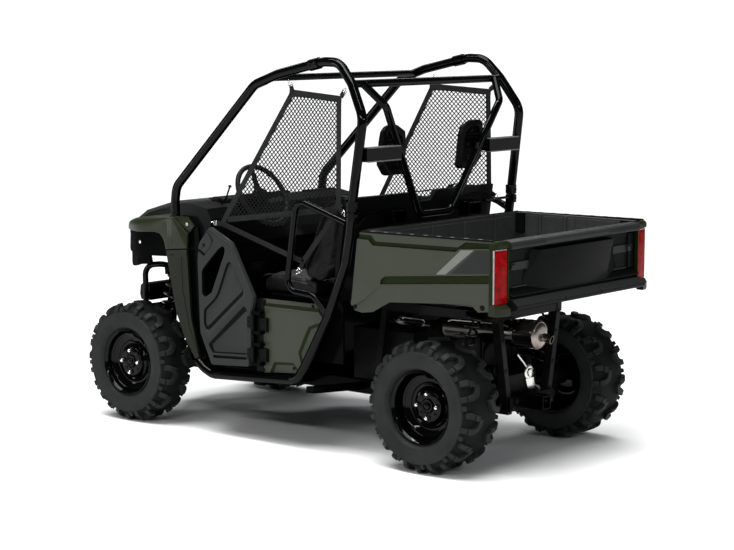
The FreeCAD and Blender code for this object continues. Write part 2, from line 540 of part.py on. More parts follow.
# floor ribs, pivot brackets under the floor
pv = []
for sy in (1, -1):
    pv.append(box(BED_HINGE[0] - 18, BED_HINGE[0] + 18, sy * 172, sy * 196, BED_HINGE[1], BED_FLOOR - 14))
    pv.append(cyl((BED_HINGE[0], sy * 172, BED_HINGE[1]), (BED_HINGE[0], sy * 196, BED_HINGE[1]), 16))
    pv.append(box(BED_X1 + 5, -640, sy * 300, sy * 330, BED_FLOOR - 34, BED_FLOOR - 14))
LAMP = poly_xy([(-1296, 603), (-1316, 601), (-1326, 588), (-1332, 516), (-1319, 516), (-1312, 586), (-1296, 590)], 786, 1024)
LAMPC = poly_xy([(-1294, 606), (-1320, 606), (-1340, 590), (-1340, 513), (-1317, 513), (-1310, 584), (-1294, 588)], 784, 1026)
for sy in (1, -1):
    pv.append(box(-1315, BED_X1 + 1, sy * 514, sy * 588, 786, 1025))
bedt = fuse(bedt, *pv).cut(LAMPC).cut(mir(LAMPC))
save("cargo_bed", bedt)
side = poly_xz([(-580, 1050), (-1310, 1058), (-1320, 757), (-1317, 739), (-1230, 746), (-1192, 779), (-743, 748), (-645, 695), (-581, 686), (-540, 692), (-526, 728), (-531, 745), (-564, 1022)], 590, 602)
cap_low = poly_xy([(-1296, 601), (-1326, 601), (-1346, 560), (-1350, 527), (-1318, 527), (-1296, 560)], 738, 784)
cap_top = poly_xy([(-1296, 601), (-1318, 601), (-1330, 586), (-1336, 514), (-1317, 514), (-1296, 590)], 1027, 1058)
side = fuse(side.cut(LAMPC), cap_low, cap_top)
save("bed_sides", both(max(side.Solids, key=lambda q: q.Volume)))
step = fuse(poly_xz([(-1290, 758), (-1372, 762), (-1380, 780), (-1356, 804), (-1290, 804)], -510, 510).cut(box(-1316, -1280, -600, 600, 700, 784)))
save("bed_rear_step", step)
save("tail_lamps", both(LAMP))
# the tailgate: an inset panel, its top rail and the raised block standing proud of it, a ledge down to the hinge line
blk = loft_x([(309, 1003), (-309, 1003), (-375, 866), (-300, 828), (300, 828), (375, 866)], -1304,
             [(288, 997), (-288, 997), (-224, 846), (-216, 840), (216, 840), (224, 846)], -1345)
gate = fuse(box(-1306, -1291, -GATE_Y, GATE_Y, 812, 1044), cyl((-1340, -GATE_Y, 818), (-1340, GATE_Y, 818), 6),
            poly_xz([(-1340, 812), (-1291, 812), (-1291, 846), (-1306, 846), (-1340, 824)], -GATE_Y, GATE_Y),
            poly_xz([(-1291, 1058), (-1330, 1055), (-1346, 1045), (-1348, 1020), (-1306, 1012), (-1291, 1012)], -GATE_Y, GATE_Y), blk)
save("tailgate", gate)
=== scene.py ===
import json
import math

import bpy
import bmesh
from mathutils import Matrix, Vector

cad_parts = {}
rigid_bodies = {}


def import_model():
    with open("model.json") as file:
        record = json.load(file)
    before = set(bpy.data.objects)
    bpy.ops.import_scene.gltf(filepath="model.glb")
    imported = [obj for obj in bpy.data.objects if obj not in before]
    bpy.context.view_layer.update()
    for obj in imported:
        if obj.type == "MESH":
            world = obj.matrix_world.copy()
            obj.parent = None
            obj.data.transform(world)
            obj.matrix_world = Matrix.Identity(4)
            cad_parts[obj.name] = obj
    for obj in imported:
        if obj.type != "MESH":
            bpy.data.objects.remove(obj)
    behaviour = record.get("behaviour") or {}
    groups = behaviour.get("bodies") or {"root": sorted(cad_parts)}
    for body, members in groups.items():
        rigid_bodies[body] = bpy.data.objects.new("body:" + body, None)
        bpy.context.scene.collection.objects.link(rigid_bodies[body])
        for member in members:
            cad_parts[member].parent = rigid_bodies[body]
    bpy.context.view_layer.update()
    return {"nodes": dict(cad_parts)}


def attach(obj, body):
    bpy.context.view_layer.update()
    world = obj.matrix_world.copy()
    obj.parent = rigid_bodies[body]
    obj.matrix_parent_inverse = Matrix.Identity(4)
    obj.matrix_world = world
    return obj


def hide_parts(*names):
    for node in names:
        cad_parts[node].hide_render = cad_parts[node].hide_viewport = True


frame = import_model()
SHIFT = 70.0          # middle of the wheelbase to the middle of the box, mm
XF, XR, WZ = 927.5, -927.5, 297.0


def P(x, y, z):
    return Vector(((x + SHIFT) / 1000.0, y / 1000.0, z / 1000.0))


# ------------------------------------------------------------------ materials
def lin(r, g, b):
    def f(c):
        c /= 255.0
        return c / 12.92 if c <= 0.04045 else ((c + 0.055) / 1.055) ** 2.4
    return (f(r), f(g), f(b), 1.0)


MATS = {}


def mat(name, col, rough=0.5, metal=0.0, spec=0.5, coat=0.0, coat_rough=0.1, grain=0.0, grain_scale=1400.0,
        mottle=0.10, mottle_scale=14.0, rough_var=0.12, wear=0.0, wear_col=None, edge=0.0, stretch=(1, 1, 1),
        kind="noise", sheen=0.0, dist=0.0006, trans=0.0, emit=0.0, dust=0.0):
    """Principled material with procedural grain, colour mottling, roughness variation and lighter worn edges."""
    m = bpy.data.materials.new(name)
    m.use_nodes = True
    n, l = m.node_tree.nodes, m.node_tree.links
    b = n["Principled BSDF"]
    tc = n.new("ShaderNodeTexCoord")
    mp = n.new("ShaderNodeMapping")
    mp.inputs["Scale"].default_value = stretch
    l.new(tc.outputs["Object"], mp.inputs["Vector"])
    vec = mp.outputs["Vector"]
    broad = n.new("ShaderNodeTexNoise")
    broad.inputs["Scale"].default_value = mottle_scale
    broad.inputs["Detail"].default_value = 5.0
    broad.inputs["Roughness"].default_value = 0.6
    l.new(vec, broad.inputs["Vector"])
    fine = n.new("ShaderNodeTexNoise")
    fine.inputs["Scale"].default_value = grain_scale
    fine.inputs["Detail"].default_value = 3.0
    l.new(vec, fine.inputs["Vector"])
    height = fine.outputs["Fac"]
    if kind == "leather":
        v = n.new("ShaderNodeTexVoronoi")
        v.inputs["Scale"].default_value = grain_scale
        v.feature = "DISTANCE_TO_EDGE"
        l.new(vec, v.inputs["Vector"])
        mx = n.new("ShaderNodeMath"); mx.operation = "ADD"
        sm = n.new("ShaderNodeMath"); sm.operation = "MINIMUM"; sm.inputs[1].default_value = 0.12
        l.new(v.outputs["Distance"], sm.inputs[0])
        sc = n.new("ShaderNodeMath"); sc.operation = "MULTIPLY"; sc.inputs[1].default_value = 6.0
        l.new(sm.outputs[0], sc.inputs[0])
        l.new(sc.outputs[0], mx.inputs[0]); l.new(fine.outputs["Fac"], mx.inputs[1])
        height = mx.outputs[0]
    if kind == "weave":
        w1 = n.new("ShaderNodeTexWave"); w1.inputs["Scale"].default_value = grain_scale; w1.bands_direction = "DIAGONAL"
        w2 = n.new("ShaderNodeTexWave"); w2.inputs["Scale"].default_value = grain_scale; w2.bands_direction = "Z"
        for w in (w1, w2):
            w.inputs["Distortion"].default_value = 0.6
            l.new(vec, w.inputs["Vector"])
        mx = n.new("ShaderNodeMath"); mx.operation = "MAXIMUM"
        l.new(w1.outputs["Fac"], mx.inputs[0]); l.new(w2.outputs["Fac"], mx.inputs[1])
        height = mx.outputs[0]
    dark = tuple(c * (1 - mottle * 1.6) for c in col[:3]) + (1,)
    light = tuple(min(1, c * (1 + mottle * 1.6)) for c in col[:3]) + (1,)
    ramp = n.new("ShaderNodeMix"); ramp.data_type = "RGBA"
    ramp.inputs[6].default_value, ramp.inputs[7].default_value = dark, light
    mr = n.new("ShaderNodeMapRange")
    mr.inputs["From Min"].default_value, mr.inputs["From Max"].default_value = 0.32, 0.68
    l.new(broad.outputs["Fac"], mr.inputs["Value"])
    l.new(mr.outputs["Result"], ramp.inputs[0])
    colour = ramp.outputs[2]
    normal_in = None
    if edge > 0:
        bv = n.new("ShaderNodeBevel")
        bv.samples = 4
        bv.inputs["Radius"].default_value = edge
        normal_in = bv.outputs["Normal"]
        if wear > 0:
            ge = n.new("ShaderNodeNewGeometry")
            dp = n.new("ShaderNodeVectorMath"); dp.operation = "DOT_PRODUCT"
            l.new(bv.outputs["Normal"], dp.inputs[0]); l.new(ge.outputs["Normal"], dp.inputs[1])
            em = n.new("ShaderNodeMapRange")
            em.inputs["From Min"].default_value, em.inputs["From Max"].default_value = 0.995, 0.93
            em.inputs["To Max"].default_value = wear
            l.new(dp.outputs["Value"], em.inputs["Value"])
            wm = n.new("ShaderNodeMath"); wm.operation = "MULTIPLY"
            l.new(em.outputs["Result"], wm.inputs[0])
            wn = n.new("ShaderNodeMapRange")
            wn.inputs["From Min"].default_value, wn.inputs["From Max"].default_value = 0.4, 0.62
            nz = n.new("ShaderNodeTexNoise"); nz.inputs["Scale"].default_value = 60.0; nz.inputs["Detail"].default_value = 6.0
            l.new(vec, nz.inputs["Vector"]); l.new(nz.outputs["Fac"], wn.inputs["Value"])
            l.new(wn.outputs["Result"], wm.inputs[1])
            wc = n.new("ShaderNodeMix"); wc.data_type = "RGBA"
            wc.inputs[7].default_value = wear_col or tuple(min(1, c * 2.4 + 0.01) for c in col[:3]) + (1,)
            l.new(colour, wc.inputs[6]); l.new(wm.outputs[0], wc.inputs[0])
            colour = wc.outputs[2]
    if dust > 0:
        ge2 = n.new("ShaderNodeNewGeometry")
        sx = n.new("ShaderNodeSeparateXYZ"); l.new(ge2.outputs["Normal"], sx.inputs[0])
        dm = n.new("ShaderNodeMapRange"); dm.inputs["From Min"].default_value = 0.3; dm.inputs["To Max"].default_value = dust
        l.new(sx.outputs["Z"], dm.inputs["Value"])
        dmul = n.new("ShaderNodeMath"); dmul.operation = "MULTIPLY"
        l.new(dm.outputs["Result"], dmul.inputs[0]); l.new(broad.outputs["Fac"], dmul.inputs[1])
        dc = n.new("ShaderNodeMix"); dc.data_type = "RGBA"; dc.inputs[7].default_value = (0.11, 0.105, 0.095, 1)
        l.new(colour, dc.inputs[6]); l.new(dmul.outputs[0], dc.inputs[0])
        colour = dc.outputs[2]
    l.new(colour, b.inputs["Base Color"])
    rr = n.new("ShaderNodeMapRange")
    rr.inputs["To Min"].default_value = max(0.02, rough - rough_var)
    rr.inputs["To Max"].default_value = min(1.0, rough + rough_var)
    rm = n.new("ShaderNodeMath"); rm.operation = "ADD"; rm.use_clamp = True
    hf = n.new("ShaderNodeMath"); hf.operation = "MULTIPLY"; hf.inputs[1].default_value = 0.5
    h2 = n.new("ShaderNodeMath"); h2.operation = "MULTIPLY"; h2.inputs[1].default_value = 0.5
    l.new(broad.outputs["Fac"], hf.inputs[0]); l.new(fine.outputs["Fac"], h2.inputs[0])
    l.new(hf.outputs[0], rm.inputs[0]); l.new(h2.outputs[0], rm.inputs[1])
    l.new(rm.outputs[0], rr.inputs["Value"])
    l.new(rr.outputs["Result"], b.inputs["Roughness"])
    b.inputs["Metallic"].default_value = metal
    b.inputs["Specular IOR Level"].default_value = spec
    b.inputs["Coat Weight"].default_value = coat
    b.inputs["Coat Roughness"].default_value = coat_rough
    b.inputs["Sheen Weight"].default_value = sheen
    if trans:
        b.inputs["Transmission Weight"].default_value = trans
    if emit:
        b.inputs["Emission Color"].default_value = col
        b.inputs["Emission Strength"].default_value = emit
    if grain > 0:
        bp = n.new("ShaderNodeBump")
        bp.inputs["Strength"].default_value = grain
        bp.inputs["Distance"].default_value = dist
        l.new(height, bp.inputs["Height"])
        if normal_in:
            l.new(normal_in, bp.inputs["Normal"])
        normal_in = bp.outputs["Normal"]
    if normal_in:
        l.new(normal_in, b.inputs["Normal"])
    MATS[name] = m
    return m


GREEN = mat("m_green_panel", (0.0300, 0.0345, 0.0240, 1), rough=0.42, spec=0.12, coat=0.10, coat_rough=0.14, grain=0.10, grain_scale=1800, mottle=0.03, mottle_scale=6, rough_var=0.07, wear=0.45, edge=0.0025, dist=0.0003)
GREEN_F = mat("m_green_fender", (0.0104, 0.0136, 0.0054, 1), rough=0.42, spec=0.12, coat=0.10, coat_rough=0.14, grain=0.10, grain_scale=1800, mottle=0.04, mottle_scale=6, rough_var=0.07, wear=0.45, edge=0.0025, dist=0.0003)
GREEN_S = mat("m_green_strip", (0.0046, 0.0062, 0.0026, 1), rough=0.44, spec=0.10, coat=0.06, coat_rough=0.16, grain=0.10, grain_scale=1800, mottle=0.04, mottle_scale=6, rough_var=0.07, wear=0.4, edge=0.0025, dist=0.0003)
# dark green: the own colour of the top corner caps and lamp flanges, and painted shade on the walls and floors of
# carved grooves and recesses
GREEN_DARK_AND_SHADE = mat("m_green_dark_and_painted_shade", (0.0068, 0.0125, 0.0014, 1), rough=0.50, spec=0.08, grain=0.12, grain_scale=1800, mottle=0.05, rough_var=0.08)
DOOR = mat("m_door_plastic", (0.0195, 0.0205, 0.0208, 1), rough=0.55, spec=0.08, coat=0.06, coat_rough=0.18, grain=0.30, grain_scale=1500, mottle=0.05, rough_var=0.08, wear=0.5, edge=0.002, dist=0.0004)
# door plastic darkened to painted shade for the walls of the door's recesses, its through-hole and its slot
DOOR_RECESS_SHADE = mat("m_door_recess_painted_shade", (0.0014, 0.0021, 0.0021, 1), rough=0.6, spec=0.05, grain=0.30, grain_scale=1500, mottle=0.08, rough_var=0.08, dist=0.0004)
BLACK = mat("m_black_plastic", (0.0036, 0.0039, 0.0040, 1), rough=0.50, spec=0.02, coat=0.05, coat_rough=0.14, grain=0.30, grain_scale=1500, mottle=0.10, rough_var=0.08, wear=0.5, edge=0.002, dist=0.0004)
# black plastic darkened to painted shade, for the nose and its side under the fender skirt
NOSE_SHADE_BLACK = mat("m_nose_plastic_painted_shade", (0.0009, 0.0010, 0.0010, 1), rough=0.45, spec=0.0, coat=0.03, coat_rough=0.10, grain=0.20, grain_scale=1500, mottle=0.10, rough_var=0.08, wear=0.6, edge=0.002, dist=0.0004)
BEDIN = mat("m_bed_plastic", (0.0350, 0.0358, 0.0356, 1), rough=0.55, spec=0.10, grain=0.30, grain_scale=1500, mottle=0.08, rough_var=0.08, wear=0.4, edge=0.002, dist=0.0004)
# lighter grey plastic: the latch plates' own grey, and a painted top light on the tailgate rail and the step's upper
# faces
GREY_AND_TOPLIGHT = mat("m_grey_plastic_and_painted_toplight", (0.0150, 0.0158, 0.0160, 1), rough=0.46, spec=0.10, coat=0.06, coat_rough=0.14, grain=0.30, grain_scale=1500, mottle=0.06, rough_var=0.08, wear=0.5, edge=0.002, dist=0.0004)
# near-black: painted shade in the headrest recess, the exhaust bore, the door slots and the fender notch; the fender
# plug's own black
BLACK_AND_SHADE = mat("m_black_and_painted_shade", (0.0012, 0.0012, 0.0012, 1), rough=0.7, spec=0.04, grain=0.2, grain_scale=1500, mottle=0.10)
FRAME = mat("m_powder_black", (0.0006, 0.0007, 0.0007, 1), rough=0.30, spec=0.0, coat=0.24, coat_rough=0.05, grain=0.05, grain_scale=2600, mottle=0.08, rough_var=0.05, wear=0.20, edge=0.0015, dist=0.0002)
# black darkened to painted shade for the frame, floor, arms and other parts underneath and inside; a little dust on
# upward faces
UNDER_SHADE_BLACK = mat("m_under_black_painted_shade", (0.0009, 0.0009, 0.0009, 1), rough=0.55, spec=0.01, coat=0.04, coat_rough=0.10, grain=0.20, grain_scale=900, mottle=0.2, rough_var=0.12, wear=0.6, edge=0.002, dust=0.01)
UPRIGHT = mat("m_plate_grey", (0.0045, 0.0047, 0.0047, 1), rough=0.5, spec=0.06, coat=0.06, coat_rough=0.12, grain=0.2, grain_scale=900, mottle=0.15, rough_var=0.1, wear=0.5, edge=0.002)
RIM = mat("m_rim_gloss_black", (0.0007, 0.0007, 0.0007, 1), rough=0.25, spec=0.0, coat=0.26, coat_rough=0.05, grain=0.03, grain_scale=2200, mottle=0.1, rough_var=0.05, wear=0.5, edge=0.0015, dist=0.0002)
TYRE = mat("m_tyre_rubber", (0.0150, 0.0160, 0.0158, 1), rough=0.60, spec=0.10, grain=0.35, grain_scale=1100, mottle=0.18, mottle_scale=9, rough_var=0.08, wear=0.45, edge=0.002, dist=0.0005)
TREAD = mat("m_tyre_tread", (0.0115, 0.0125, 0.0125, 1), rough=0.56, spec=0.12, grain=0.4, grain_scale=1000, mottle=0.15, mottle_scale=16, rough_var=0.08, wear=0.7, edge=0.0025, dist=0.0005)
# darker rubber as painted shade in the gaps between the lugs
TREAD_GAP_SHADE = mat("m_tyre_tread_base", (0.0058, 0.0062, 0.0062, 1), rough=0.66, spec=0.06, grain=0.35, grain_scale=1100, mottle=0.15, mottle_scale=9, rough_var=0.08, dist=0.0005)
VINYL = mat("m_seat_vinyl", (0.0050, 0.0050, 0.0053, 1), rough=0.45, spec=0.16, grain=0.5, grain_scale=620, mottle=0.08, rough_var=0.1, kind="leather", dist=0.0004)
THREAD = mat("m_thread", (0.012, 0.012, 0.012, 1), rough=0.7, spec=0.1, grain=0.5, grain_scale=2200, kind="weave", mottle=0.1)
NET = mat("m_net_cord", (0.0045, 0.0047, 0.0047, 1), rough=0.75, spec=0.08, grain=0.5, grain_scale=1400, kind="weave", mottle=0.12, rough_var=0.08)
WEB = mat("m_webbing", (0.0125, 0.0130, 0.0130, 1), rough=0.72, spec=0.08, grain=0.7, grain_scale=900, kind="weave", mottle=0.12, rough_var=0.08, dist=0.0005)
STEEL = mat("m_steel_brushed", (0.42, 0.41, 0.39, 1), rough=0.30, metal=1.0, grain=0.15, grain_scale=700, stretch=(1, 8, 8), mottle=0.08, rough_var=0.12, edge=0.001, dist=0.0002)
BRIGHT = mat("m_zinc_bright", (0.66, 0.65, 0.62, 1), rough=0.22, metal=1.0, grain=0.1, grain_scale=1600, mottle=0.08, rough_var=0.1, dist=0.0002)
CAST = mat("m_cast_aluminium", (0.34, 0.345, 0.34, 1), rough=0.48, metal=0.85, grain=0.5, grain_scale=900, mottle=0.12, rough_var=0.12, edge=0.002, dist=0.0006)
MUFF = mat("m_muffler_body", (0.060, 0.057, 0.052, 1), rough=0.17, metal=0.95, spec=0.2, grain=0.12, grain_scale=500, stretch=(1, 6, 6), mottle=0.22, mottle_scale=8, rough_var=0.10, edge=0.0015, dist=0.0003)
MUFFEND = mat("m_muffler_end", (0.20, 0.176, 0.155, 1), rough=0.22, metal=1.0, grain=0.2, grain_scale=260, mottle=0.25, mottle_scale=26, rough_var=0.14, edge=0.002, dist=0.0005)
ENGINE = mat("m_engine_metal", (0.0050, 0.0052, 0.0052, 1), rough=0.55, metal=0.3, spec=0.10, grain=0.5, grain_scale=700, mottle=0.3, rough_var=0.15, wear=0.4, edge=0.003)
RED = mat("m_lamp_red", (0.150, 0.0010, 0.0014, 1), rough=0.18, spec=0.02, coat=0.08, coat_rough=0.03, grain=0.35, grain_scale=330, kind="weave", mottle=0.40, mottle_scale=34, rough_var=0.05, dist=0.0006, emit=0.42)
# light grey clear plastic: lens and edge strips, and a painted highlight on the tail lamp's top cap
CLEAR_AND_HIGHLIGHT = mat("m_lamp_clear_and_painted_highlight", (0.26, 0.27, 0.275, 1), rough=0.14, spec=0.2, coat=0.2, coat_rough=0.04, grain=0.25, grain_scale=300, kind="weave", mottle=0.20, rough_var=0.05, dist=0.0005)
RUBBER = mat("m_rubber", (0.0040, 0.0040, 0.0040, 1), rough=0.6, spec=0.14, grain=0.4, grain_scale=1200, mottle=0.15)
# light grey: the bed stripe's own print, and a painted highlight on the rail clips and the head-channel flanges
STRIPE_GREY_AND_HIGHLIGHT = mat("m_stripe_grey_and_painted_highlight", (0.130, 0.136, 0.124, 1), rough=0.40, spec=0.16, grain=0.08, grain_scale=1800, mottle=0.02, rough_var=0.06)
STRIPE_DK = mat("m_stripe_dark", (0.0135, 0.0150, 0.0145, 1), rough=0.42, spec=0.14, grain=0.08, grain_scale=1800, mottle=0.03, rough_var=0.06)


# ------------------------------------------------------------------ mesh code
class MB:
    """Collects vertices in millimetres of the wheelbase frame and faces with a material index."""

    def __init__(self):
        self.v, self.f, self.m = [], [], []

    def add(self, v, f, m=0):
        o = len(self.v)
        self.v += [Vector(p) for p in v]
        self.f += [[i + o for i in q] for q in f]
        self.m += [m] * len(f)

    def mirror(self):
        o = MB()
        o.v = [Vector((p.x, -p.y, p.z)) for p in self.v]
        o.f = [list(reversed(q)) for q in self.f]
        o.m = list(self.m)
        return o

    def join(self, o):
        self.add(o.v, o.f, 0)
        self.m[-len(o.f):] = o.m
        return self


def to_object(name, mb, mats, body=None, replaces=(), bevel=0.0, seg=2, angle=32, sharp=38, stage=False, fix=True):
    me = bpy.data.meshes.new(name)
    me.from_pydata([P(*p) for p in mb.v], [], mb.f)
    mats = mats if isinstance(mats, (list, tuple)) else [mats]
    for q in mats:
        me.materials.append(q)
    me.polygons.foreach_set("material_index", mb.m)
    me.update()
    if fix:
        bm = bmesh.new(); bm.from_mesh(me)
        bmesh.ops.recalc_face_normals(bm, faces=bm.faces)
        bm.to_mesh(me); bm.free()
    me.polygons.foreach_set("use_smooth", [True] * len(me.polygons))
    o = bpy.data.objects.new(name, me)
    bpy.context.scene.collection.objects.link(o)
    if bevel > 0:
        b = o.modifiers.new("edge", "BEVEL")
        b.width = bevel / 1000.0
        b.segments = seg
        b.limit_method = "ANGLE"
        b.angle_limit = math.radians(angle)
        b.harden_normals = True
    else:
        me.set_sharp_from_angle(angle=math.radians(sharp))
    if body:
        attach(o, body)
    if replaces:
        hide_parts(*replaces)
    return o


def carve(name, mb, cutters, mats, body=None, replaces=(), bevel=1.6, seg=2, angle=32):
    """The mesh with the cutters taken off, then edge-rounded."""
    o = to_object(name, mb, mats)
    for i, c in enumerate(cutters):
        t = to_object(name + "_cut%d" % i, c, mats)
        b = o.modifiers.new("c", "BOOLEAN")
        b.operation = "DIFFERENCE"; b.solver = "EXACT"; b.object = t
    dg = bpy.context.evaluated_depsgraph_get()
    me = bpy.data.meshes.new_from_object(o.evaluated_get(dg))
    for i in range(len(cutters)):
        bpy.data.objects.remove(bpy.data.objects[name + "_cut%d" % i])
    o.modifiers.clear()
    o.data = me
    bm = bmesh.new(); bm.from_mesh(me)
    bmesh.ops.remove_doubles(bm, verts=bm.verts, dist=0.00002)
    bmesh.ops.dissolve_limit(bm, angle_limit=math.radians(1.0), verts=bm.verts, edges=bm.edges, delimit={"MATERIAL"})
    bm.to_mesh(me); bm.free()
    me.polygons.foreach_set("use_smooth", [True] * len(me.polygons))
    b = o.modifiers.new("edge", "BEVEL")
    b.width = bevel / 1000.0; b.segments = seg; b.limit_method = "ANGLE"; b.angle_limit = math.radians(angle); b.harden_normals = True
    if body:
        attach(o, body)
    if replaces:
        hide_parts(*replaces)
    return o


def area2(pts):
    return sum(a[0] * b[1] - b[0] * a[1] for a, b in zip(pts, pts[1:] + pts[:1])) / 2


def prism(pts, a0, a1, plane="xz", m=0, draft=0.0):
    """Outline swept between two planes; with draft the second outline is drawn in by that much."""
    mb = MB()
    n = len(pts)
    q = list(pts)
    if draft:
        q = inset(pts, draft)

    def at(p, a):
        return {"xz": (p[0], a, p[1]), "xy": (p[0], p[1], a), "yz": (a, p[0], p[1])}[plane]
    v = [at(p, a0) for p in pts] + [at(p, a1) for p in q]
    f = [list(range(n)), list(range(2 * n - 1, n - 1, -1))] + [[i, (i + 1) % n, n + (i + 1) % n, n + i] for i in range(n)]
    mb.add(v, f, m)
    return mb


def loftp(rings, plane="xz", mcap=0, mside=0, mrest=None):
    """Solid through outlines of equal length at stations; the first gap's walls take mside, the rest mrest."""
    mb = MB()
    n = len(rings[0][0])

    def at(p, a):
        return {"xz": (p[0], a, p[1]), "xy": (p[0], p[1], a), "yz": (a, p[0], p[1])}[plane]
    for k, (pts, a) in enumerate(rings):
        assert len(pts) == n
        mb.v += [Vector(at(q, a)) for q in pts]
    mb.f.append(list(range(n))); mb.m.append(mcap)
    mb.f.append([(len(rings) - 1) * n + i for i in range(n - 1, -1, -1)]); mb.m.append(mcap)
    for k in range(len(rings) - 1):
        for i in range(n):
            mb.f.append([k * n + i, k * n + (i + 1) % n, (k + 1) * n + (i + 1) % n, (k + 1) * n + i])
            mb.m.append(mside if k == 0 or mrest is None else mrest)
    return mb


def inset(pts, d):
    """The outline moved inwards by d (outwards when negative)."""
    s = 1 if area2(pts) > 0 else -1
    out = []
    n = len(pts)
    for i in range(n):
        a, b, c = Vector(pts[i - 1]), Vector(pts[i]), Vector(pts[(i + 1) % n])
        u, w = (b - a).normalized(), (c - b).normalized()
        n1, n2 = Vector((-u.y, u.x)) * s, Vector((-w.y, w.x)) * s
        k = n1 + n2
        k = k / max(0.35, k.length_squared / 2) if k.length > 1e-6 else n1
        out.append(tuple(b + k * d))
    return out


def rounded(pts, r, seg=4):
    """The outline with its corners turned into arcs."""
    out = []
    n = len(pts)
    for i in range(n):
        a, b, c = Vector(pts[i - 1]), Vector(pts[i]), Vector(pts[(i + 1) % n])
        u, w = (a - b), (c - b)
        t = min(r, 0.45 * u.length, 0.45 * w.length)
        p0, p2 = b + u.normalized() * t, b + w.normalized() * t
        for k in range(seg + 1):
            f = k / seg
            out.append(tuple(p0 * (1 - f) ** 2 + b * 2 * f * (1 - f) + p2 * f * f))
    return out


def path_round(pts, bend, step=7.0):
    """Polyline in space with its corners rounded."""
    Q = [Vector(p) for p in pts]
    out = [Q[0]]
    for i in range(1, len(Q) - 1):
        a, b, c = Q[i - 1], Q[i], Q[i + 1]
        u, w = (a - b), (c - b)
        ang = math.pi - u.angle(w)
        if ang < 0.02:
            out.append(b)
            continue
        t = min(bend * math.tan(ang / 2), 0.45 * u.length, 0.45 * w.length)
        p0, p2 = b + u.normalized() * t, b + w.normalized() * t
        k = max(3, int(math.degrees(ang) / step))
        for j in range(k + 1):
            f = j / k
            out.append(p0 * (1 - f) ** 2 + b * 2 * f * (1 - f) + p2 * f * f)
    out.append(Q[-1])
    res = [out[0]]
    for p in out[1:]:
        if (p - res[-1]).length > 0.2:
            res.append(p)
    return res


def frames(pts, closed=False):
    T = []
    n = len(pts)
    for i in range(n):
        a = pts[i - 1] if (i or closed) else pts[0]
        b = pts[(i + 1) % n] if (i < n - 1 or closed) else pts[-1]
        T.append((b - a).normalized())
    up = Vector((0, 0, 1)) if abs(T[0].z) < 0.9 else Vector((0, 1, 0))
    N = [(up - T[0] * up.dot(T[0])).normalized()]
    for i in range(1, n):
        v = N[-1] - T[i] * N[-1].dot(T[i])
        N.append(v.normalized())
    return T, N


def tube(pts, r, seg=14, bend=None, m=0, closed=False, cap=True):
    """Round tube; r is one radius or a list of one per point."""
    Q = path_round(pts, bend) if bend else [Vector(p) for p in pts]
    T, N = frames(Q, closed)
    R = r if isinstance(r, (list, tuple)) else [r] * len(Q)
    mb = MB()
    v, f = [], []
    for q, t, n, rr in zip(Q, T, N, R):
        s = t.cross(n)
        for k in range(seg):
            a = 2 * math.pi * k / seg
            v.append(q + n * (math.cos(a) * rr) + s * (math.sin(a) * rr))
    L = len(Q)
    for i in range(L if closed else L - 1):
        for k in range(seg):
            a, b = i * seg + k, i * seg + (k + 1) % seg
            j = (i + 1) % L
            f.append([a, b, j * seg + (k + 1) % seg, j * seg + k])
    if cap and not closed:
        f.append(list(range(seg)))
        f.append([(L - 1) * seg + k for k in range(seg)])
    mb.add(v, f, m)
    return mb


def ribbon(pts, normals, w, t, m=0):
    """Flat strap of width w and thickness t along points, lying across the normals."""
    Q = [Vector(p) for p in pts]
    mb = MB()
    v, f = [], []
    n = len(Q)
    for i, q in enumerate(Q):
        a, b = Q[max(0, i - 1)], Q[min(n - 1, i + 1)]
        d = (b - a).normalized()
        nn = Vector(normals[i] if isinstance(normals, list) else normals)
        nn = (nn - d * nn.dot(d)).normalized()
        s = d.cross(nn)
        for sx, sz in ((-1, -1), (1, -1), (1, 1), (-1, 1)):
            v.append(q + s * (sx * w / 2) + nn * (sz * t / 2))
    for i in range(n - 1):
        for k in range(4):
            f.append([4 * i + k, 4 * i + (k + 1) % 4, 4 * i + 4 + (k + 1) % 4, 4 * i + 4 + k])
    f.append([0, 1, 2, 3]); f.append([4 * n - 4, 4 * n - 3, 4 * n - 2, 4 * n - 1])
    mb.add(v, f, m)
    return mb


def revolve(prof, origin, axis, seg=64, m=0, closed=True, start=0.0, sweep=360.0):
    """Profile of (along the axis, radius) turned about the axis through origin."""
    ax = Vector(axis).normalized()
    up = Vector((0, 0, 1)) if abs(ax.z) < 0.9 else Vector((1, 0, 0))
    e1 = (up - ax * up.dot(ax)).normalized()
    e2 = ax.cross(e1)
    o = Vector(origin)
    full = sweep >= 359.9
    cnt = seg if full else seg + 1
    v, f = [], []
    n = len(prof)
    for k in range(cnt):
        a = math.radians(start + sweep * k / seg)
        for h, r in prof:
            v.append(o + ax * h + (e1 * math.cos(a) + e2 * math.sin(a)) * max(r, 0.01))
    for k in range(cnt if full else cnt - 1):
        j = (k + 1) % cnt
        for i in range(n if closed else n - 1):
            i2 = (i + 1) % n
            f.append([k * n + i, k * n + i2, j * n + i2, j * n + i])
    if not full and closed:
        f.append(list(range(n)))
        f.append([(cnt - 1) * n + i for i in range(n)])
    mb = MB()
    mb.add(v, f, m)
    return mb


def solid_rev(prof, origin, axis, seg=32, m=0):
    """Turned solid whose profile ends on the axis."""
    return revolve([(prof[0][0], 0.0)] + list(prof) + [(prof[-1][0], 0.0)], origin, axis, seg, m, closed=False)


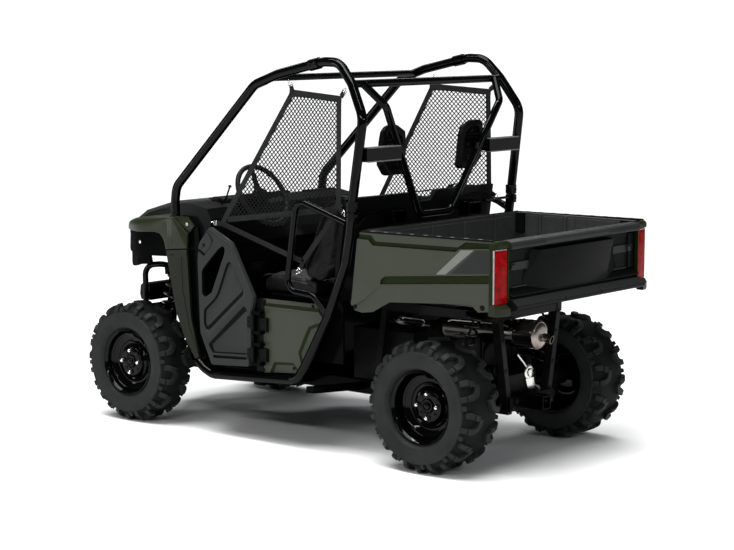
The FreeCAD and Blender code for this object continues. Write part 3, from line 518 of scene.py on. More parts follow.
def bolt(pos, axis, r=7.0, h=5.0, m=0, hexa=True, washer=True):
    mb = MB()
    ax = Vector(axis).normalized()
    p = Vector(pos)
    if washer:
        mb.join(solid_rev([(0, r * 1.55), (1.0, r * 1.55), (1.4, r * 1.4)], p, ax, 20, m))
    if hexa:
        mb.join(solid_rev([(1.0, r), (h * 0.8, r), (h, r * 0.86)], p, ax, 6, m))
    else:
        mb.join(solid_rev([(1.0, r), (h * 0.45, r * 0.97), (h * 0.8, r * 0.75), (h, r * 0.35)], p, ax, 18, m))
    return mb


def block(x0, x1, y0, y1, z0, z1, m=0):
    return prism([(x0, z0), (x1, z0), (x1, z1), (x0, z1)], y0, y1, "xz", m)


def bar(a, b, w, h, m=0, side=None):
    a, b = Vector(a), Vector(b)
    d = (b - a).normalized()
    s = Vector(side) if side else Vector((0, 0, 1)).cross(d)
    if s.length < 1e-6:
        s = Vector((0, 1, 0))
    s = (s - d * s.dot(d)).normalized()
    u = d.cross(s)
    mb = MB()
    v = [q + s * (i * w / 2) + u * (j * h / 2) for q in (a, b) for i, j in ((-1, -1), (1, -1), (1, 1), (-1, 1))]
    mb.add(v, [[0, 1, 2, 3], [4, 5, 6, 7]] + [[k, (k + 1) % 4, 4 + (k + 1) % 4, 4 + k] for k in range(4)], m)
    return mb


def both(mb):
    r = MB().join(mb)
    r.join(mb.mirror())
    return r


# ------------------------------------------------------------------ carried-over nodes
NODES = frame["nodes"]


def dress(node, material):
    o = NODES[node]
    o.data.materials.clear() if not o.material_slots else None
    if not o.material_slots:
        o.data.materials.append(material)
    for s in o.material_slots:
        s.material = material


# parts underneath and inside take the black darkened to painted shade
KEEP = {
    "cage_front": FRAME, "cage_rear_left": FRAME, "cage_rear_right": FRAME, "cage_rear_brace": FRAME, "cage_lower_left": FRAME,
    "cage_lower_right": FRAME, "front_guard": FRAME, "lower_frame": UNDER_SHADE_BLACK, "frame_outriggers": UNDER_SHADE_BLACK, "front_frame": UNDER_SHADE_BLACK,
    "rear_frame": UPRIGHT, "hitch_receiver": UNDER_SHADE_BLACK, "floor_pan": UNDER_SHADE_BLACK, "seat_box": UNDER_SHADE_BLACK, "engine_block": ENGINE,
    "front_arms": UNDER_SHADE_BLACK, "rear_arms": UNDER_SHADE_BLACK, "front_driveline": ENGINE, "rear_driveline": ENGINE, "front_knuckle_left": CAST,
    "front_knuckle_right": CAST, "rear_knuckles": ENGINE, "steering_column": UNDER_SHADE_BLACK, "steering_rack": UNDER_SHADE_BLACK, "tie_rods": STEEL,
    "door_hinges": UNDER_SHADE_BLACK, "front_fascia": NOSE_SHADE_BLACK, "hood": GREEN_F, "dashboard": BLACK, "kick_panels": UNDER_SHADE_BLACK,
    "rear_shell": BLACK, "cargo_bed": BEDIN,
}
for k, q in KEEP.items():
    dress(k, q)


# ------------------------------------------------------------------ tyres and rims
def interp(poly, t):
    for (a, b) in zip(poly, poly[1:]):
        if t <= b[0] or b is poly[-1]:
            f = (t - a[0]) / max(1e-9, b[0] - a[0])
            f = min(max(f, 0.0), 1.0)
            return (a[1] + (b[1] - a[1]) * f, a[2] + (b[2] - a[2]) * f)
    return poly[-1][1:]


def tyre(tag, x, yc, w, lip_y, body, sy):
    h = w / 2.0
    top = [(0, 297), (30, 297), (h - 44, 296), (h - 26, 289), (h - 9, 270), (h - 2, 246)]
    base = [(0, 279), (30, 279), (h - 46, 277.5), (h - 31, 271), (h - 16, 258), (h - 5, 245)]
    L, acc = [], 0.0
    for i, p in enumerate(top):
        if i:
            acc += math.hypot(p[0] - top[i - 1][0], p[1] - top[i - 1][1])
        L.append(acc)
    topm = [(L[i],) + top[i] for i in range(6)]
    basem = [(L[i],) + base[i] for i in range(6)]
    b = lip_y - yc - 9.5
    side = [(h - 5, 248), (h - 1.5, 247.5), (h - 0.6, 245.5), (h - 2.2, 243), (h - 0.8, 232), (h, 216), (h - 0.6, 202), (h - 2.0, 192),
            (h - 3.2, 188), (h - 3.0, 184.5), (h - 5.0, 180), (b + 1, 171), (b, 168), (b, 159)]
    half = [(0, 279), (20, 279), (30, 278.8), (h - 60, 278.4), (h - 46, 277), (h - 38, 274.5), (h - 31, 270.5), (h - 22, 263.5), (h - 14, 256), (h - 8, 250)] + side
    prof = [(y, r) for y, r in half] + [(b - 8, 160)]
    prof = [(-y, r) for y, r in reversed(prof)] + prof[1:]
    prof = [(yc + y, r) for y, r in prof]
    mb = revolve([(sy * y, r) for y, r in prof], (x, 0, WZ), (0, 1, 0), 96, 0)
    # faces of the tread band between the lugs take the painted shade
    for i, q in enumerate(mb.f):
        c = sum((mb.v[j] for j in q), Vector()) / len(q)
        if math.hypot(c.x - x, c.z - WZ) > 250:
            mb.m[i] = 1
    N = 12
    pitch = 2 * math.pi * 297 / N
    E = L[4]                                   # arc length at the shoulder

    def pt(t, s, up, ysign, off):
        y, r = interp(topm if up else basem, abs(t))
        if not up:
            r -= 3.0
        a = (s + off) / 297.0
        yy = yc + ysign * y * (1 if t >= 0 else -1)
        return Vector((x + r * math.cos(a), sy * yy, WZ + r * math.sin(a)))

    def strip(path, wdt, ysign, off, m=1):
        n = len(path)
        fine = []
        for i in range(n - 1):
            k = max(1, int(math.hypot(path[i + 1][0] - path[i][0], path[i + 1][1] - path[i][1]) / 14))
            for j in range(k):
                f = j / k
                fine.append((path[i][0] + (path[i + 1][0] - path[i][0]) * f, path[i][1] + (path[i + 1][1] - path[i][1]) * f))
        fine.append(path[-1])
        v, f = [], []
        for i, (t, s) in enumerate(fine):
            a, c = fine[max(0, i - 1)], fine[min(len(fine) - 1, i + 1)]
            d = Vector((c[0] - a[0], c[1] - a[1])).normalized()
            nn = Vector((-d.y, d.x))
            ww = wdt / 2.0
            endgrow = 1.5 if i in (0, len(fine) - 1) else 0.0
            e = (-1 if i == 0 else 1) * endgrow
            v += [pt(t + nn.x * ww, s + nn.y * ww, True, ysign, off), pt(t - nn.x * ww, s - nn.y * ww, True, ysign, off),
                  pt(t - nn.x * (ww + 2.5) + d.x * e, s - nn.y * (ww + 2.5) + d.y * e, False, ysign, off),
                  pt(t + nn.x * (ww + 2.5) + d.x * e, s + nn.y * (ww + 2.5) + d.y * e, False, ysign, off)]
        for i in range(len(fine) - 1):
            o = 4 * i
            for k in range(4):
                f.append([o + k, o + (k + 1) % 4, o + 4 + (k + 1) % 4, o + 4 + k])
        f.append([0, 1, 2, 3]); f.append([4 * len(fine) - 4 + k for k in range(4)])
        q = MB(); q.add(v, f, m)
        return q
    lug = MB()
    wide = h > 115
    for k in range(N):
        for ys, o in ((1, 0.0), (-1, pitch * 0.5)):
            off = k * pitch + o
            # straight bar in two blocks, then the hooked lug that turns up along the tread, then the shoulder tooth
            lug.join(strip([(E - 2, 0), (E - 30, 3), (E - 44, 8)], 27, ys, off))
            lug.join(strip([(E - 49, 12), (E - 66, 16), (E - (78 if wide else 68), 20)], 25, ys, off))
            j = pitch * 0.5
            lug.join(strip([(E - 18, j), (E - 46, j - 2), (E - (70 if wide else 56), j - 10), (E - (84 if wide else 68), j - 28), (E - (90 if wide else 72), j - 54)], 26, ys, off))
            lug.join(strip([(E + 22, j - 1), (E + 2, j), (E - 12, j)], 25, ys, off))
            lug.join(strip([(E + 20, -33), (E - 4, -33)], 21, ys, off))
    c = to_object("tyre_carcass_" + tag, mb, [TYRE, TREAD_GAP_SHADE], "wheel_" + body, ("%s_tyre_%s" % tuple(tag.split("_")),), sharp=50)
    g = to_object("tyre_lugs_" + tag, lug, [TREAD, TREAD], "wheel_" + body, ("%s_tyre_%s" % tuple(tag.split("_")),), bevel=2.2, seg=2, angle=40)
    return c, g


def rim(tag, x, yc, lip_y, face, body, sy):
    i = yc - (lip_y - yc)
    R, LR = 152.0, 166.0
    barrel = [(lip_y - 1, LR - 3), (lip_y, LR - 5.5), (lip_y - 1.5, LR - 8), (lip_y - 5, LR - 10), (lip_y - 9, R - 1), (lip_y - 16, R - 4.5),
              (face + 8, R - 6), (face - 2, R - 8), (face - 5, R - 11), (face - 8, R - 16), (face - 14, R - 17),
              (i + 48, R - 13), (i + 30, R - 2.2), (i + 8, R - 0.2), (i + 2, LR - 5.5), (i, LR - 3.5), (i + 3, LR - 1),
              (i + 7, LR - 2), (i + 9, R + 5), (i + 40, R + 2), (i + 60, R - 9), (face - 14, R - 9), (face + 4, R - 2), (lip_y - 9, R + 5.4), (lip_y - 7, LR - 2), (lip_y - 3, LR - 1.2)]
    disc = [(face - 7, R - 10), (face - 12, R - 20), (face - 20, R - 32), (face - 23, 112), (face - 22, 105), (face - 17, 101.5), (face - 15.5, 100), (face - 16.5, 97.5),
            (face - 20, 94), (face - 21, 88), (face - 16, 81), (face - 6, 75.5), (face - 1.5, 73), (face, 70), (face, 36), (face - 4, 33), (face - 4, 30),
            (face - 10, 30), (face - 10, 70), (face - 24, 80), (face - 28, 96), (face - 28, 116), (face - 18, R - 16), (face - 14, R - 12)]
    mb = revolve([(sy * a, r) for a, r in barrel], (x, 0, WZ), (0, 1, 0), 96, 0)
    mb.join(revolve([(sy * a, r) for a, r in disc], (x, 0, WZ), (0, 1, 0), 96, 0))
    # hub, centre cap with a raised ring, drain ribs on the bolt plate
    hub = [(face - 60, 34), (face - 20, 34), (face - 20, 68), (face - 8, 68), (face - 8, 31), (face + 3, 30), (face + 6, 28), (face + 6, 23), (face + 3, 21.5), (face + 3, 18),
           (face + 9, 16.5), (face + 12, 14), (face + 14, 9), (face + 14.5, 3)]
    mb.join(solid_rev([(sy * a, r) for a, r in hub], (x, 0, WZ), (0, 1, 0), 40, 0))
    for k in range(4):
        a = math.radians(45 + 90 * k)
        c = Vector((x + 55 * math.cos(a), 0, WZ + 55 * math.sin(a)))
        mb.join(solid_rev([(sy * (face - 1), 12), (sy * (face + 1.5), 11.5), (sy * (face + 2.2), 9.5)], c, (0, 1, 0), 24, 0))
    nut = MB()
    for k in range(4):
        a = math.radians(90 * k)
        c = Vector((x + 55 * math.cos(a), 0, WZ + 55 * math.sin(a)))
        mb.join(solid_rev([(sy * (face - 1), 16), (sy * (face + 2), 15.5), (sy * (face + 3), 13.5)], c, (0, 1, 0), 28, 0))
        nut.join(solid_rev([(sy * (face + 1), 10.4), (sy * (face + 11), 10.4), (sy * (face + 12.5), 9.6)], c, (0, 1, 0), 6, 0))
        nut.join(solid_rev([(sy * (face + 11), 9.2), (sy * (face + 16), 8.8), (sy * (face + 18.6), 6.8), (sy * (face + 19.8), 3.6)], c, (0, 1, 0), 24, 0))
    # valve stem
    a = math.radians(200)
    vs = Vector((x + 124 * math.cos(a), 0, WZ + 124 * math.sin(a)))
    mb.join(solid_rev([(sy * (face - 22), 6), (sy * (face - 12), 5), (sy * (face + 8), 3.8), (sy * (face + 16), 3.8), (sy * (face + 18), 2.6)], vs, (0, 1, 0), 16, 0))
    o = to_object("rim_steel_" + tag, mb, [RIM], "wheel_" + body, ("%s_rim_%s" % tuple(tag.split("_")),), sharp=42)
    q = to_object("wheel_nuts_" + tag, nut, [BRIGHT], "wheel_" + body, bevel=0.5, seg=2)
    return o, q


for s, sy in (("left", 1), ("right", -1)):
    tyre("front_" + s, XF, 527, 203, 618, "front_" + s, sy)
    tyre("rear_" + s, XR, 508, 254, 612, "rear_" + s, sy)
    rim("front_" + s, XF, 527, 618, 585, "front_" + s, sy)
    rim("rear_" + s, XR, 508, 612, 551, "rear_" + s, sy)


# ------------------------------------------------------------------ shocks
def shock(a, b, r):
    a, b = Vector(a), Vector(b)
    d = (b - a)
    L = d.length
    u = d.normalized()
    blk, stl = MB(), MB()
    for q in (a, b):
        blk.join(solid_rev([(-14, 12), (-14, 15), (14, 15), (14, 12)], q, (1, 0, 0), 24))
        stl.join(solid_rev([(-15.5, 7), (15.5, 7)], q, (1, 0, 0), 16))
        stl.join(solid_rev([(-17, 9.5), (-14.5, 10)], q, (1, 0, 0), 6))
    blk.join(solid_rev([(8, 10), (24, 13), (34, r + 1), (38, r + 4.5), (41, r + 4.5), (42, 15), (60, 14)], a, u, 32))
    stl.join(solid_rev([(50, 6), (L * 0.62, 6)], a, u, 20))
    blk.join(solid_rev([(L * 0.40, 17), (L * 0.42, 20), (L * 0.66, 20.5), (L * 0.72, 20.5), (L * 0.725, r + 4), (L * 0.74, r + 4.5), (L * 0.75, 21), (L * 0.80, 20), (L - 30, 18), (L - 12, 11), (L - 5, 9)], a, u, 32))
    # threaded collar rings
    for k in range(5):
        t = L * 0.76 + 5 * k
        blk.join(solid_rev([(t, 19), (t + 0.6, 21.4), (t + 2.4, 21.4), (t + 3, 19)], a, u, 32))
    turns = 8.2
    n = int(turns * 26)
    e1 = u.cross(Vector((0, 1, 0))).normalized()
    e2 = u.cross(e1)
    pts = []
    t0, t1 = 42, L * 0.72 - 3
    for k in range(n + 1):
        f = k / n
        g = min(1.0, max(0.0, (f * turns - 0.8) / (turns - 1.6)))
        an = 2 * math.pi * f * turns
        t = t0 + 5 + (t1 - t0 - 10) * g
        pts.append(a + u * t + (e1 * math.cos(an) + e2 * math.sin(an)) * (r - 6.3))
    coil = tube(pts, 6.2, seg=10)
    return blk, stl, coil


sb, ss, sc = MB(), MB(), MB()
for a, b, r in (((905, 290, 745), (1000, 345, 262), 32), ((-1010, 298, 716), (-872, 345, 262), 40)):
    x, y, z = shock(a, b, r)
    sb.join(both(x)); ss.join(both(y)); sc.join(both(z))
COIL = mat("m_spring_black", (0.0040, 0.0042, 0.0042, 1), rough=0.25, spec=0.3, grain=0.08, grain_scale=2000, mottle=0.08, dist=0.0002)
to_object("shock_bodies", sb, [UNDER_SHADE_BLACK], "chassis", ("shocks",), bevel=0.8)
to_object("shock_rods", ss, [UPRIGHT], "chassis", ("shocks",), sharp=40)
to_object("shock_springs", sc, [COIL], "chassis", ("shocks",), sharp=60)


# ------------------------------------------------------------------ exhaust
def can(x):
    t = x + 1150.0
    return Vector((x, 78.0 + 0.0487 * t, 583.0 - 0.01106 * t))


CA, CB = can(-600), can(-1206)
CAX = (CB - CA).normalized()


def ct(x):
    return (can(x) - CA).dot(CAX)


body = MB()
body.join(tube([(-340, 121, 625), (-340, 160, 625), (-385, 190, 606), (-480, 180, 592), can(-560), can(-606)], 23.5, 24, 60))
body.join(solid_rev([(ct(-604), 24), (ct(-612), 24), (ct(-640), 34), (ct(-675), 50), (ct(-700), 57), (ct(-704), 60.5), (ct(-712), 60.5), (ct(-716), 58.6),
                     (ct(-860), 60.2), (ct(-1080), 63.4), (ct(-1084), 65.4), (ct(-1092), 65.6), (ct(-1096), 63.8), (ct(-1186), 64.8)], CA, CAX, 72))
end = MB()
end.join(solid_rev([(ct(-1182), 64), (ct(-1184), 66), (ct(-1190), 66), (ct(-1193), 63.5), (ct(-1198), 58), (ct(-1203), 47), (ct(-1205), 38), (ct(-1206), 20)], CA, CAX, 72))
# tail spout; its bore is drawn near-black as painted shade
s0, s1 = Vector((-1180, 58, 576)), Vector((-1240, 46, 562))
sx = (s1 - s0).normalized()
SL = (s1 - s0).length
end.join(revolve([(10, 19), (SL - 3, 19.4), (SL, 20), (SL, 17.2), (SL - 26, 16.2), (14, 15)], s0, sx, 32))
bore = solid_rev([(16, 16), (SL - 24, 16.1)], s0, sx, 24)
# the polished half cover over the top of the end, with its bolts and feet
cov = revolve([(ct(-1086), 66.2), (ct(-1186), 67.4), (ct(-1193), 65.5), (ct(-1199), 59.5), (ct(-1198), 57), (ct(-1190), 62.5), (ct(-1086), 64.6)], CA, CAX, 40, 0, True, -75, 150)
end.join(cov)
for aa in (-68, -22, 25, 70):
    for xx in (-1096, -1180):
        e1 = (Vector((0, 0, 1)) - CAX * CAX.z).normalized()
        e2 = CAX.cross(e1)
        dr = e1 * math.cos(math.radians(aa)) + e2 * math.sin(math.radians(aa))
        end.join(bolt(can(xx) + dr * 66.5, dr, 4.5, 4.5))
# seam flange, mounting strap and the two-rail heat shield above the can
strap = MB()
strap.join(revolve([(ct(-1010), 64.0), (ct(-1010), 66.6), (ct(-1030), 67.0), (ct(-1030), 64.2)], CA, CAX, 72))
strap.join(bar(can(-1020) + Vector((0, 0, 60)), can(-1020) + Vector((0, 8, 104)), 22, 5, side=(1, 0, 0)))
strap.join(bolt(can(-1020) + Vector((0, 70, 6)), (0, 1, 0.1), 6, 6))
shield = MB()
for yo, zo in ((30, 60), (62, 34), (-20, 66)):
    shield.join(tube([can(-740) + Vector((0, yo, zo)), can(-760) + Vector((0, yo, zo + 8)), can(-1040) + Vector((0, yo, zo + 9)), can(-1068) + Vector((0, yo, zo))], 3.2, 10, 14))
for xx in (-800, -920, -1030):
    shield.join(ribbon([can(xx) + Vector((0, -22, 74)), can(xx) + Vector((0, 30, 68)), can(xx) + Vector((0, 64, 42))], Vector((0, 0.4, 0.9)), 16, 1.6))
to_object("exhaust_body", body, [MUFF], "chassis", ("exhaust",), sharp=40)
to_object("exhaust_end", end, [MUFFEND], "chassis", ("exhaust",), bevel=0.8, seg=2)
to_object("exhaust_bore", bore, [BLACK_AND_SHADE], "chassis", sharp=40)
to_object("exhaust_strap", strap, [UNDER_SHADE_BLACK], "chassis", bevel=0.6)
to_object("exhaust_shield", shield, [STEEL], "chassis", sharp=40)
# bright heat tube of the front pipe
to_object("exhaust_front_tube", tube([(-305, 60, 602), (-420, 61, 614), (-572, 62, 628)], 13, 20, 60).join(
    solid_rev([(0, 15.5), (10, 15.5)], (-420, 61, 614), (-1, 0, 0.09), 24)), [STEEL], "chassis", sharp=40)

# ------------------------------------------------------------------ rear axle details
cas = MB()
cas.join(prism(rounded([(-95, 363), (-110, 360), (-130, 330), (-150, 312), (-176, 300), (-200, 292), (-232, 262), (-226, 250), (-196, 262), (-160, 268), (-128, 252), (-104, 232), (-92, 240), (-88, 300)], 8), -1000, -985, "yz"))
cas.join(prism(rounded([(-96, 350), (-108, 348), (-112, 300), (-108, 256), (-98, 250), (-94, 300)], 4), -1012, -985, "yz"))
cas.join(solid_rev([(0, 26), (10, 26), (12, 22), (12, 14), (16, 12), (17, 5)], (-985, -112, 330), (-1, 0, 0), 32))
to_object("brake_casting", cas, [CAST], "chassis", bevel=2.0, seg=3)
cas2 = MB()
cas2.join(prism(rounded([(-28, 352), (-44, 310), (-60, 272), (-166, 270), (-160, 284), (-120, 297), (-98, 326), (-92, 352)], 6), -1046, -1034, "yz"))
cas2.join(solid_rev([(0, 36), (10, 36), (12, 32), (12, 20), (18, 18), (20, 8)], (-1032, -62, 378), (-1, 0, 0), 36))
cas2.join(tube([(-1040, -34, 408), (-1042, -8, 432), (-1042, 40, 474)], 7, 14, 10))
cas2.join(bolt((-1046, -140, 279), (-1, 0, 0), 6, 6))
to_object("brake_lever_casting", cas2, [BRIGHT], "chassis", bevel=1.6, seg=2)
disc = revolve([(0, 34), (0, 76), (4, 76), (4, 34)], (-947.5, -136, 340), (0, -1, 0), 64)
for k in range(12):
    a = math.radians(30 * k)
    disc.join(solid_rev([(4.05, 3.6), (4.4, 3.6)], (-947.5 + 60 * math.cos(a), -136, 340 + 60 * math.sin(a)), (0, -1, 0), 12))
to_object("brake_disc", disc, [STEEL], "chassis", bevel=0.4)
bl = MB()
for sgn in (1, -1):
    for z in (300, 420, 560, 650):
        f = (z - 236) / 452.0
        y = 150 + 85 * f
        bl.join(bolt((-1088.4, sgn * y, z), (-1, 0, 0), 6.5, 4.0))
    for z in (270, 350, 460, 580):
        f = (z - 246) / 442.0
        bl.join(bolt((-383 - 57 * f - 2, sgn * 256, z), (0, sgn, 0), 5.0, 3.5))
bl.join(bolt((-1102.5, 120, 276), (-1, 0, 0), 7, 5)); bl.join(bolt((-1102.5, -120, 276), (-1, 0, 0), 7, 5))
bl.join(bolt((-1102.5, 150, 246), (-1, 0, 0), 7, 5)); bl.join(bolt((-1102.5, -150, 246), (-1, 0, 0), 7, 5))
to_object("frame_bolts", bl, [UPRIGHT], "chassis", sharp=30)

to_object("toe_board_top", prism([(596, 704), (602, 704), (605.5, 770), (600, 770)], -500, 500), [UNDER_SHADE_BLACK], "chassis", bevel=0.8)

tx = loftp([([(-150, 392), (-120, 372), (150, 372), (205, 400), (210, 520), (170, 556), (-110, 556), (-150, 520)], -905),
            ([(-150, 392), (-120, 372), (150, 372), (205, 400), (210, 520), (170, 556), (-110, 556), (-150, 520)], -872)], "yz")
tx.join(block(-900, -876, 150, 262, 498, 556))
for y in (-110, -50, 10, 70, 130):
    tx.join(block(-915, -900, y - 4, y + 4, 384, 545))
tx.join(solid_rev([(0, 62), (10, 60), (16, 52), (18, 20)], (-903, 60, 462), (-1, 0, 0), 40))
to_object("transaxle_cover", tx, [ENGINE], "chassis", bevel=2.0, seg=2)

# ------------------------------------------------------------------ cage couplers, brackets behind the seats
cp, cb = MB(), MB()
for sgn in (1, -1):
    for xx, zz in ((-248, 1787), (-276, 1793)):
        cb.join(bolt((xx, sgn * 566.6, zz), (0, sgn, 0), 6.5, 5.5))
    for zz in (1118, 1160):
        cb.join(bolt((-535.5, sgn * 634.0 - sgn * 0.4, zz), (0, sgn, 0), 6.0, 1.0 + 0.2, washer=False))
    cb.join(bolt((-562, sgn * 608, 1120), (-1, 0, 0), 6.5, 5)); cb.join(bolt((-562, sgn * 608, 1160), (-1, 0, 0), 6.5, 5))
    # lower bracket between pillar and seat frame, with its small diagonal
    cp.join(bar((-530, sgn * 586, 1122), (-512, sgn * 420, 1118), 26, 10, side=(1, 0, 0)))
    cp.join(tube([(-528, sgn * 580, 1066), (-518, sgn * 500, 1108)], 8, 12))
    # open box brackets behind the seat backs
    yy = sgn * 285
    for q in (-48, 48):
        cp.join(prism([(-498, 1132), (-556, 1122), (-562, 1064), (-498, 1056)], yy + q - 2.5, yy + q + 2.5))
    cp.join(prism([(-498, 1132), (-556, 1122), (-556, 1117), (-498, 1127)], yy - 48, yy + 48))
    cp.join(prism([(-512, 1124), (-516, 1124), (-516, 1062), (-512, 1062)], yy - 48, yy + 48))
    cp.join(bar((-500, yy, 1090), (-436, yy, 1090), 20, 8))
to_object("seat_brackets", cp, [FRAME], "chassis", bevel=1.0)
to_object("cage_bolts", cb, [UPRIGHT], "chassis", sharp=30)
# roof channels that carry the head supports: top and bottom flanges in light grey, a painted highlight along the
# channel edges
hc = MB()
for sgn in (1, -1):
    for zz in (1424, 1362):
        hc.join(bar((-580, sgn * 340, zz), (-580, sgn * 575, zz), 46, 3.2, side=(1, 0, 0)))
        hc.join(bar((-603.5, sgn * 340, zz), (-603.5, sgn * 575, zz), 3, 5.5, side=(1, 0, 0)))
to_object("head_channel_flanges_painted_highlight", hc, [STRIPE_GREY_AND_HIGHLIGHT], "chassis", bevel=0.5)


# ------------------------------------------------------------------ head supports
def headrest(sgn):
    # outline across the car (y, z), thin shell leaning with the seat
    pts = rounded([(212, 1296), (224, 1282), (334, 1282), (382, 1332), (386, 1440), (382, 1486), (362, 1508), (338, 1515), (276, 1514), (216, 1484), (208, 1440)], 7, 2)
    shell = MB()

    def lean(z):
        return -522 - (z - 1282) * 0.055

    def thick(z):
        return 44 - 22 * max(0.0, (z - 1282) / 230.0)
    rings = []
    n = len(pts)
    for off, grow in ((0.0, 9), (0.10, 3), (0.35, 0), (0.7, 0), (0.92, 4), (1.0, 12)):
        q = inset(pts, grow)
        rings.append([(lean(z) + off * thick(z), sgn * y, z) for y, z in q])
    v = [p for r in rings for p in r]
    f = [list(range(n)), [(len(rings) - 1) * n + i for i in range(n)]]
    for j in range(len(rings) - 1):
        for i in range(n):
            f.append([j * n + i, j * n + (i + 1) % n, (j + 1) * n + (i + 1) % n, (j + 1) * n + i])
    shell.add(v, f, 0)
    # the recess is cut with painted shade (near-black) on its walls and floor
    cut = prism([(238, 1308), (326, 1308), (362, 1346), (364, 1424), (346, 1482), (282, 1482), (242, 1458), (236, 1420)], -560, lean(1400) + 5, "yz", 1)
    if sgn < 0:
        cut = cut.mirror()
    o = carve("head_support_%s" % ("left" if sgn > 0 else "right"), shell, [cut], [BLACK, BLACK_AND_SHADE], "chassis", ("headrests",), bevel=2.4, seg=3)
    det = MB()
    for y, z in ((270, 1400), (325, 1400), (270, 1330), (325, 1330), (297, 1462)):
        det.join(bolt((lean(z) + 5.5, sgn * y, z), (-1, 0, 0), 6, 5))
    d = to_object("head_support_bolts_%s" % ("left" if sgn > 0 else "right"), det, [UPRIGHT], "chassis", sharp=30)
    rib = MB()
    for z in (1345, 1375, 1430, 1446):
        rib.join(bar((lean(z) + 3.5, sgn * 242, z), (lean(z) + 3.5, sgn * 356, z), 4, 5, side=(1, 0, 0)))
    to_object("head_support_ribs_%s" % ("left" if sgn > 0 else "right"), rib, [BLACK], "chassis", bevel=0.8)
    return o


for sgn in (1, -1):
    headrest(sgn)


# ------------------------------------------------------------------ seats
def pad(name, poly, y0, y1, lims, replaces, grow=0.018, lines=()):
    """Stuffed pad: shrunk outline, voxel remesh, blown up by cloth pressure, then seams pressed in."""
    q = inset(rounded(poly, 14, 3), 8)
    o = to_object(name, prism(q, y0 + 9, y1 - 9), [VINYL])
    r = o.modifiers.new("r", "REMESH"); r.mode = "VOXEL"; r.voxel_size = 0.0075
    s = o.modifiers.new("s", "SMOOTH"); s.iterations = 4; s.factor = 0.5
    dg = bpy.context.evaluated_depsgraph_get()
    me = bpy.data.meshes.new_from_object(o.evaluated_get(dg))
    o.modifiers.clear(); o.data = me
    start = [v.co.copy() for v in me.vertices]
    c = o.modifiers.new("Cloth", "CLOTH")
    c.settings.use_pressure = True
    c.settings.uniform_pressure_force = 4.0
    c.settings.effector_weights.gravity = 0.0
    c.settings.quality = 5
    c.collision_settings.use_collision = False
    c.point_cache.frame_start, c.point_cache.frame_end = 1, 20
    sc = bpy.context.scene
    for fr in range(1, 21):
        sc.frame_set(fr)
    dg = bpy.context.evaluated_depsgraph_get()
    ev = o.evaluated_get(dg).data
    new = [v.co.copy() for v in ev.vertices]
    o.modifiers.clear()
    sc.frame_set(1)
    lo, hi = P(*lims[0]), P(*lims[1])
    for v, a, b in zip(me.vertices, start, new):
        d = b - a
        if d.length > grow:
            d = d.normalized() * grow
        p = a + d
        # sewn channels: the cover is pulled in along each line
        for (pa, pb, dep, wid) in lines:
            A, B = P(*pa), P(*pb)
            t = min(1, max(0, (p - A).dot(B - A) / (B - A).length_squared))
            k = (p - (A + (B - A) * t)).length
            if k < wid * 3:
                p = p - v.normal * dep * math.exp(-(k / wid) ** 2)
        v.co = Vector((min(max(p.x, lo.x), hi.x), min(max(p.y, lo.y), hi.y), min(max(p.z, lo.z), hi.z)))
    me.update()
    me.polygons.foreach_set("use_smooth", [True] * len(me.polygons))
    sub = o.modifiers.new("sub", "SUBSURF"); sub.levels = sub.render_levels = 1
    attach(o, "chassis"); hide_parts(replaces)
    return o


def twin(o, name, replaces):
    """The same pad on the other side of the car."""
    me = o.data.copy()
    for v in me.vertices:
        v.co.y = -v.co.y
    me.flip_normals()
    q = bpy.data.objects.new(name, me)
    bpy.context.scene.collection.objects.link(q)
    sub = q.modifiers.new("sub", "SUBSURF"); sub.levels = sub.render_levels = 1
    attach(q, "chassis"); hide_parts(replaces)
    return q


CU = [(-250, 716), (100, 716), (112, 740), (104, 780), (60, 800), (-250, 770)]
BK = [(-252, 774), (-160, 790), (-150, 830), (-290, 1154), (-318, 1170), (-360, 1162), (-296, 830)]
cl = pad("seat_cushion_left", CU, 60, 520, ((-258, 56, 714), (120, 524, 812)), "seat_cushions",
         lines=[((-160, 80, 782), (-160, 500, 782), 0.006, 0.010), ((-40, 80, 794), (-40, 500, 794), 0.006, 0.010), ((-250, 170, 776), (90, 170, 800), 0.005, 0.009), ((-250, 410, 776), (90, 410, 800), 0.005, 0.009)])
twin(cl, "seat_cushion_right", "seat_cushions")
bk = pad("seat_back_left", BK, 75, 505, ((-368, 71, 772), (-142, 509, 1174)), "seat_backs",
         lines=[((-165, 170, 850), (-286, 170, 1144), 0.006, 0.010), ((-165, 410, 850), (-286, 410, 1144), 0.006, 0.010), ((-205, 90, 960), (-205, 490, 960), 0.005, 0.010)])
twin(bk, "seat_back_right", "seat_backs")


def seam_tube(name, pts, r=3.2):
    mb = MB()
    for q in pts:
        mb.join(tube(q, r, 8, 16))
    return to_object(name, both(mb), [THREAD], "chassis", sharp=60)


seam_tube("seat_piping", [[(-240, 68, 778), (60, 68, 802), (104, 80, 786), (108, 290, 788), (104, 500, 786), (60, 512, 802), (-240, 512, 778)],
                          [(-158, 84, 838), (-286, 84, 1144), (-316, 120, 1167), (-318, 290, 1169), (-316, 460, 1167), (-286, 496, 1144), (-158, 496, 838)]])

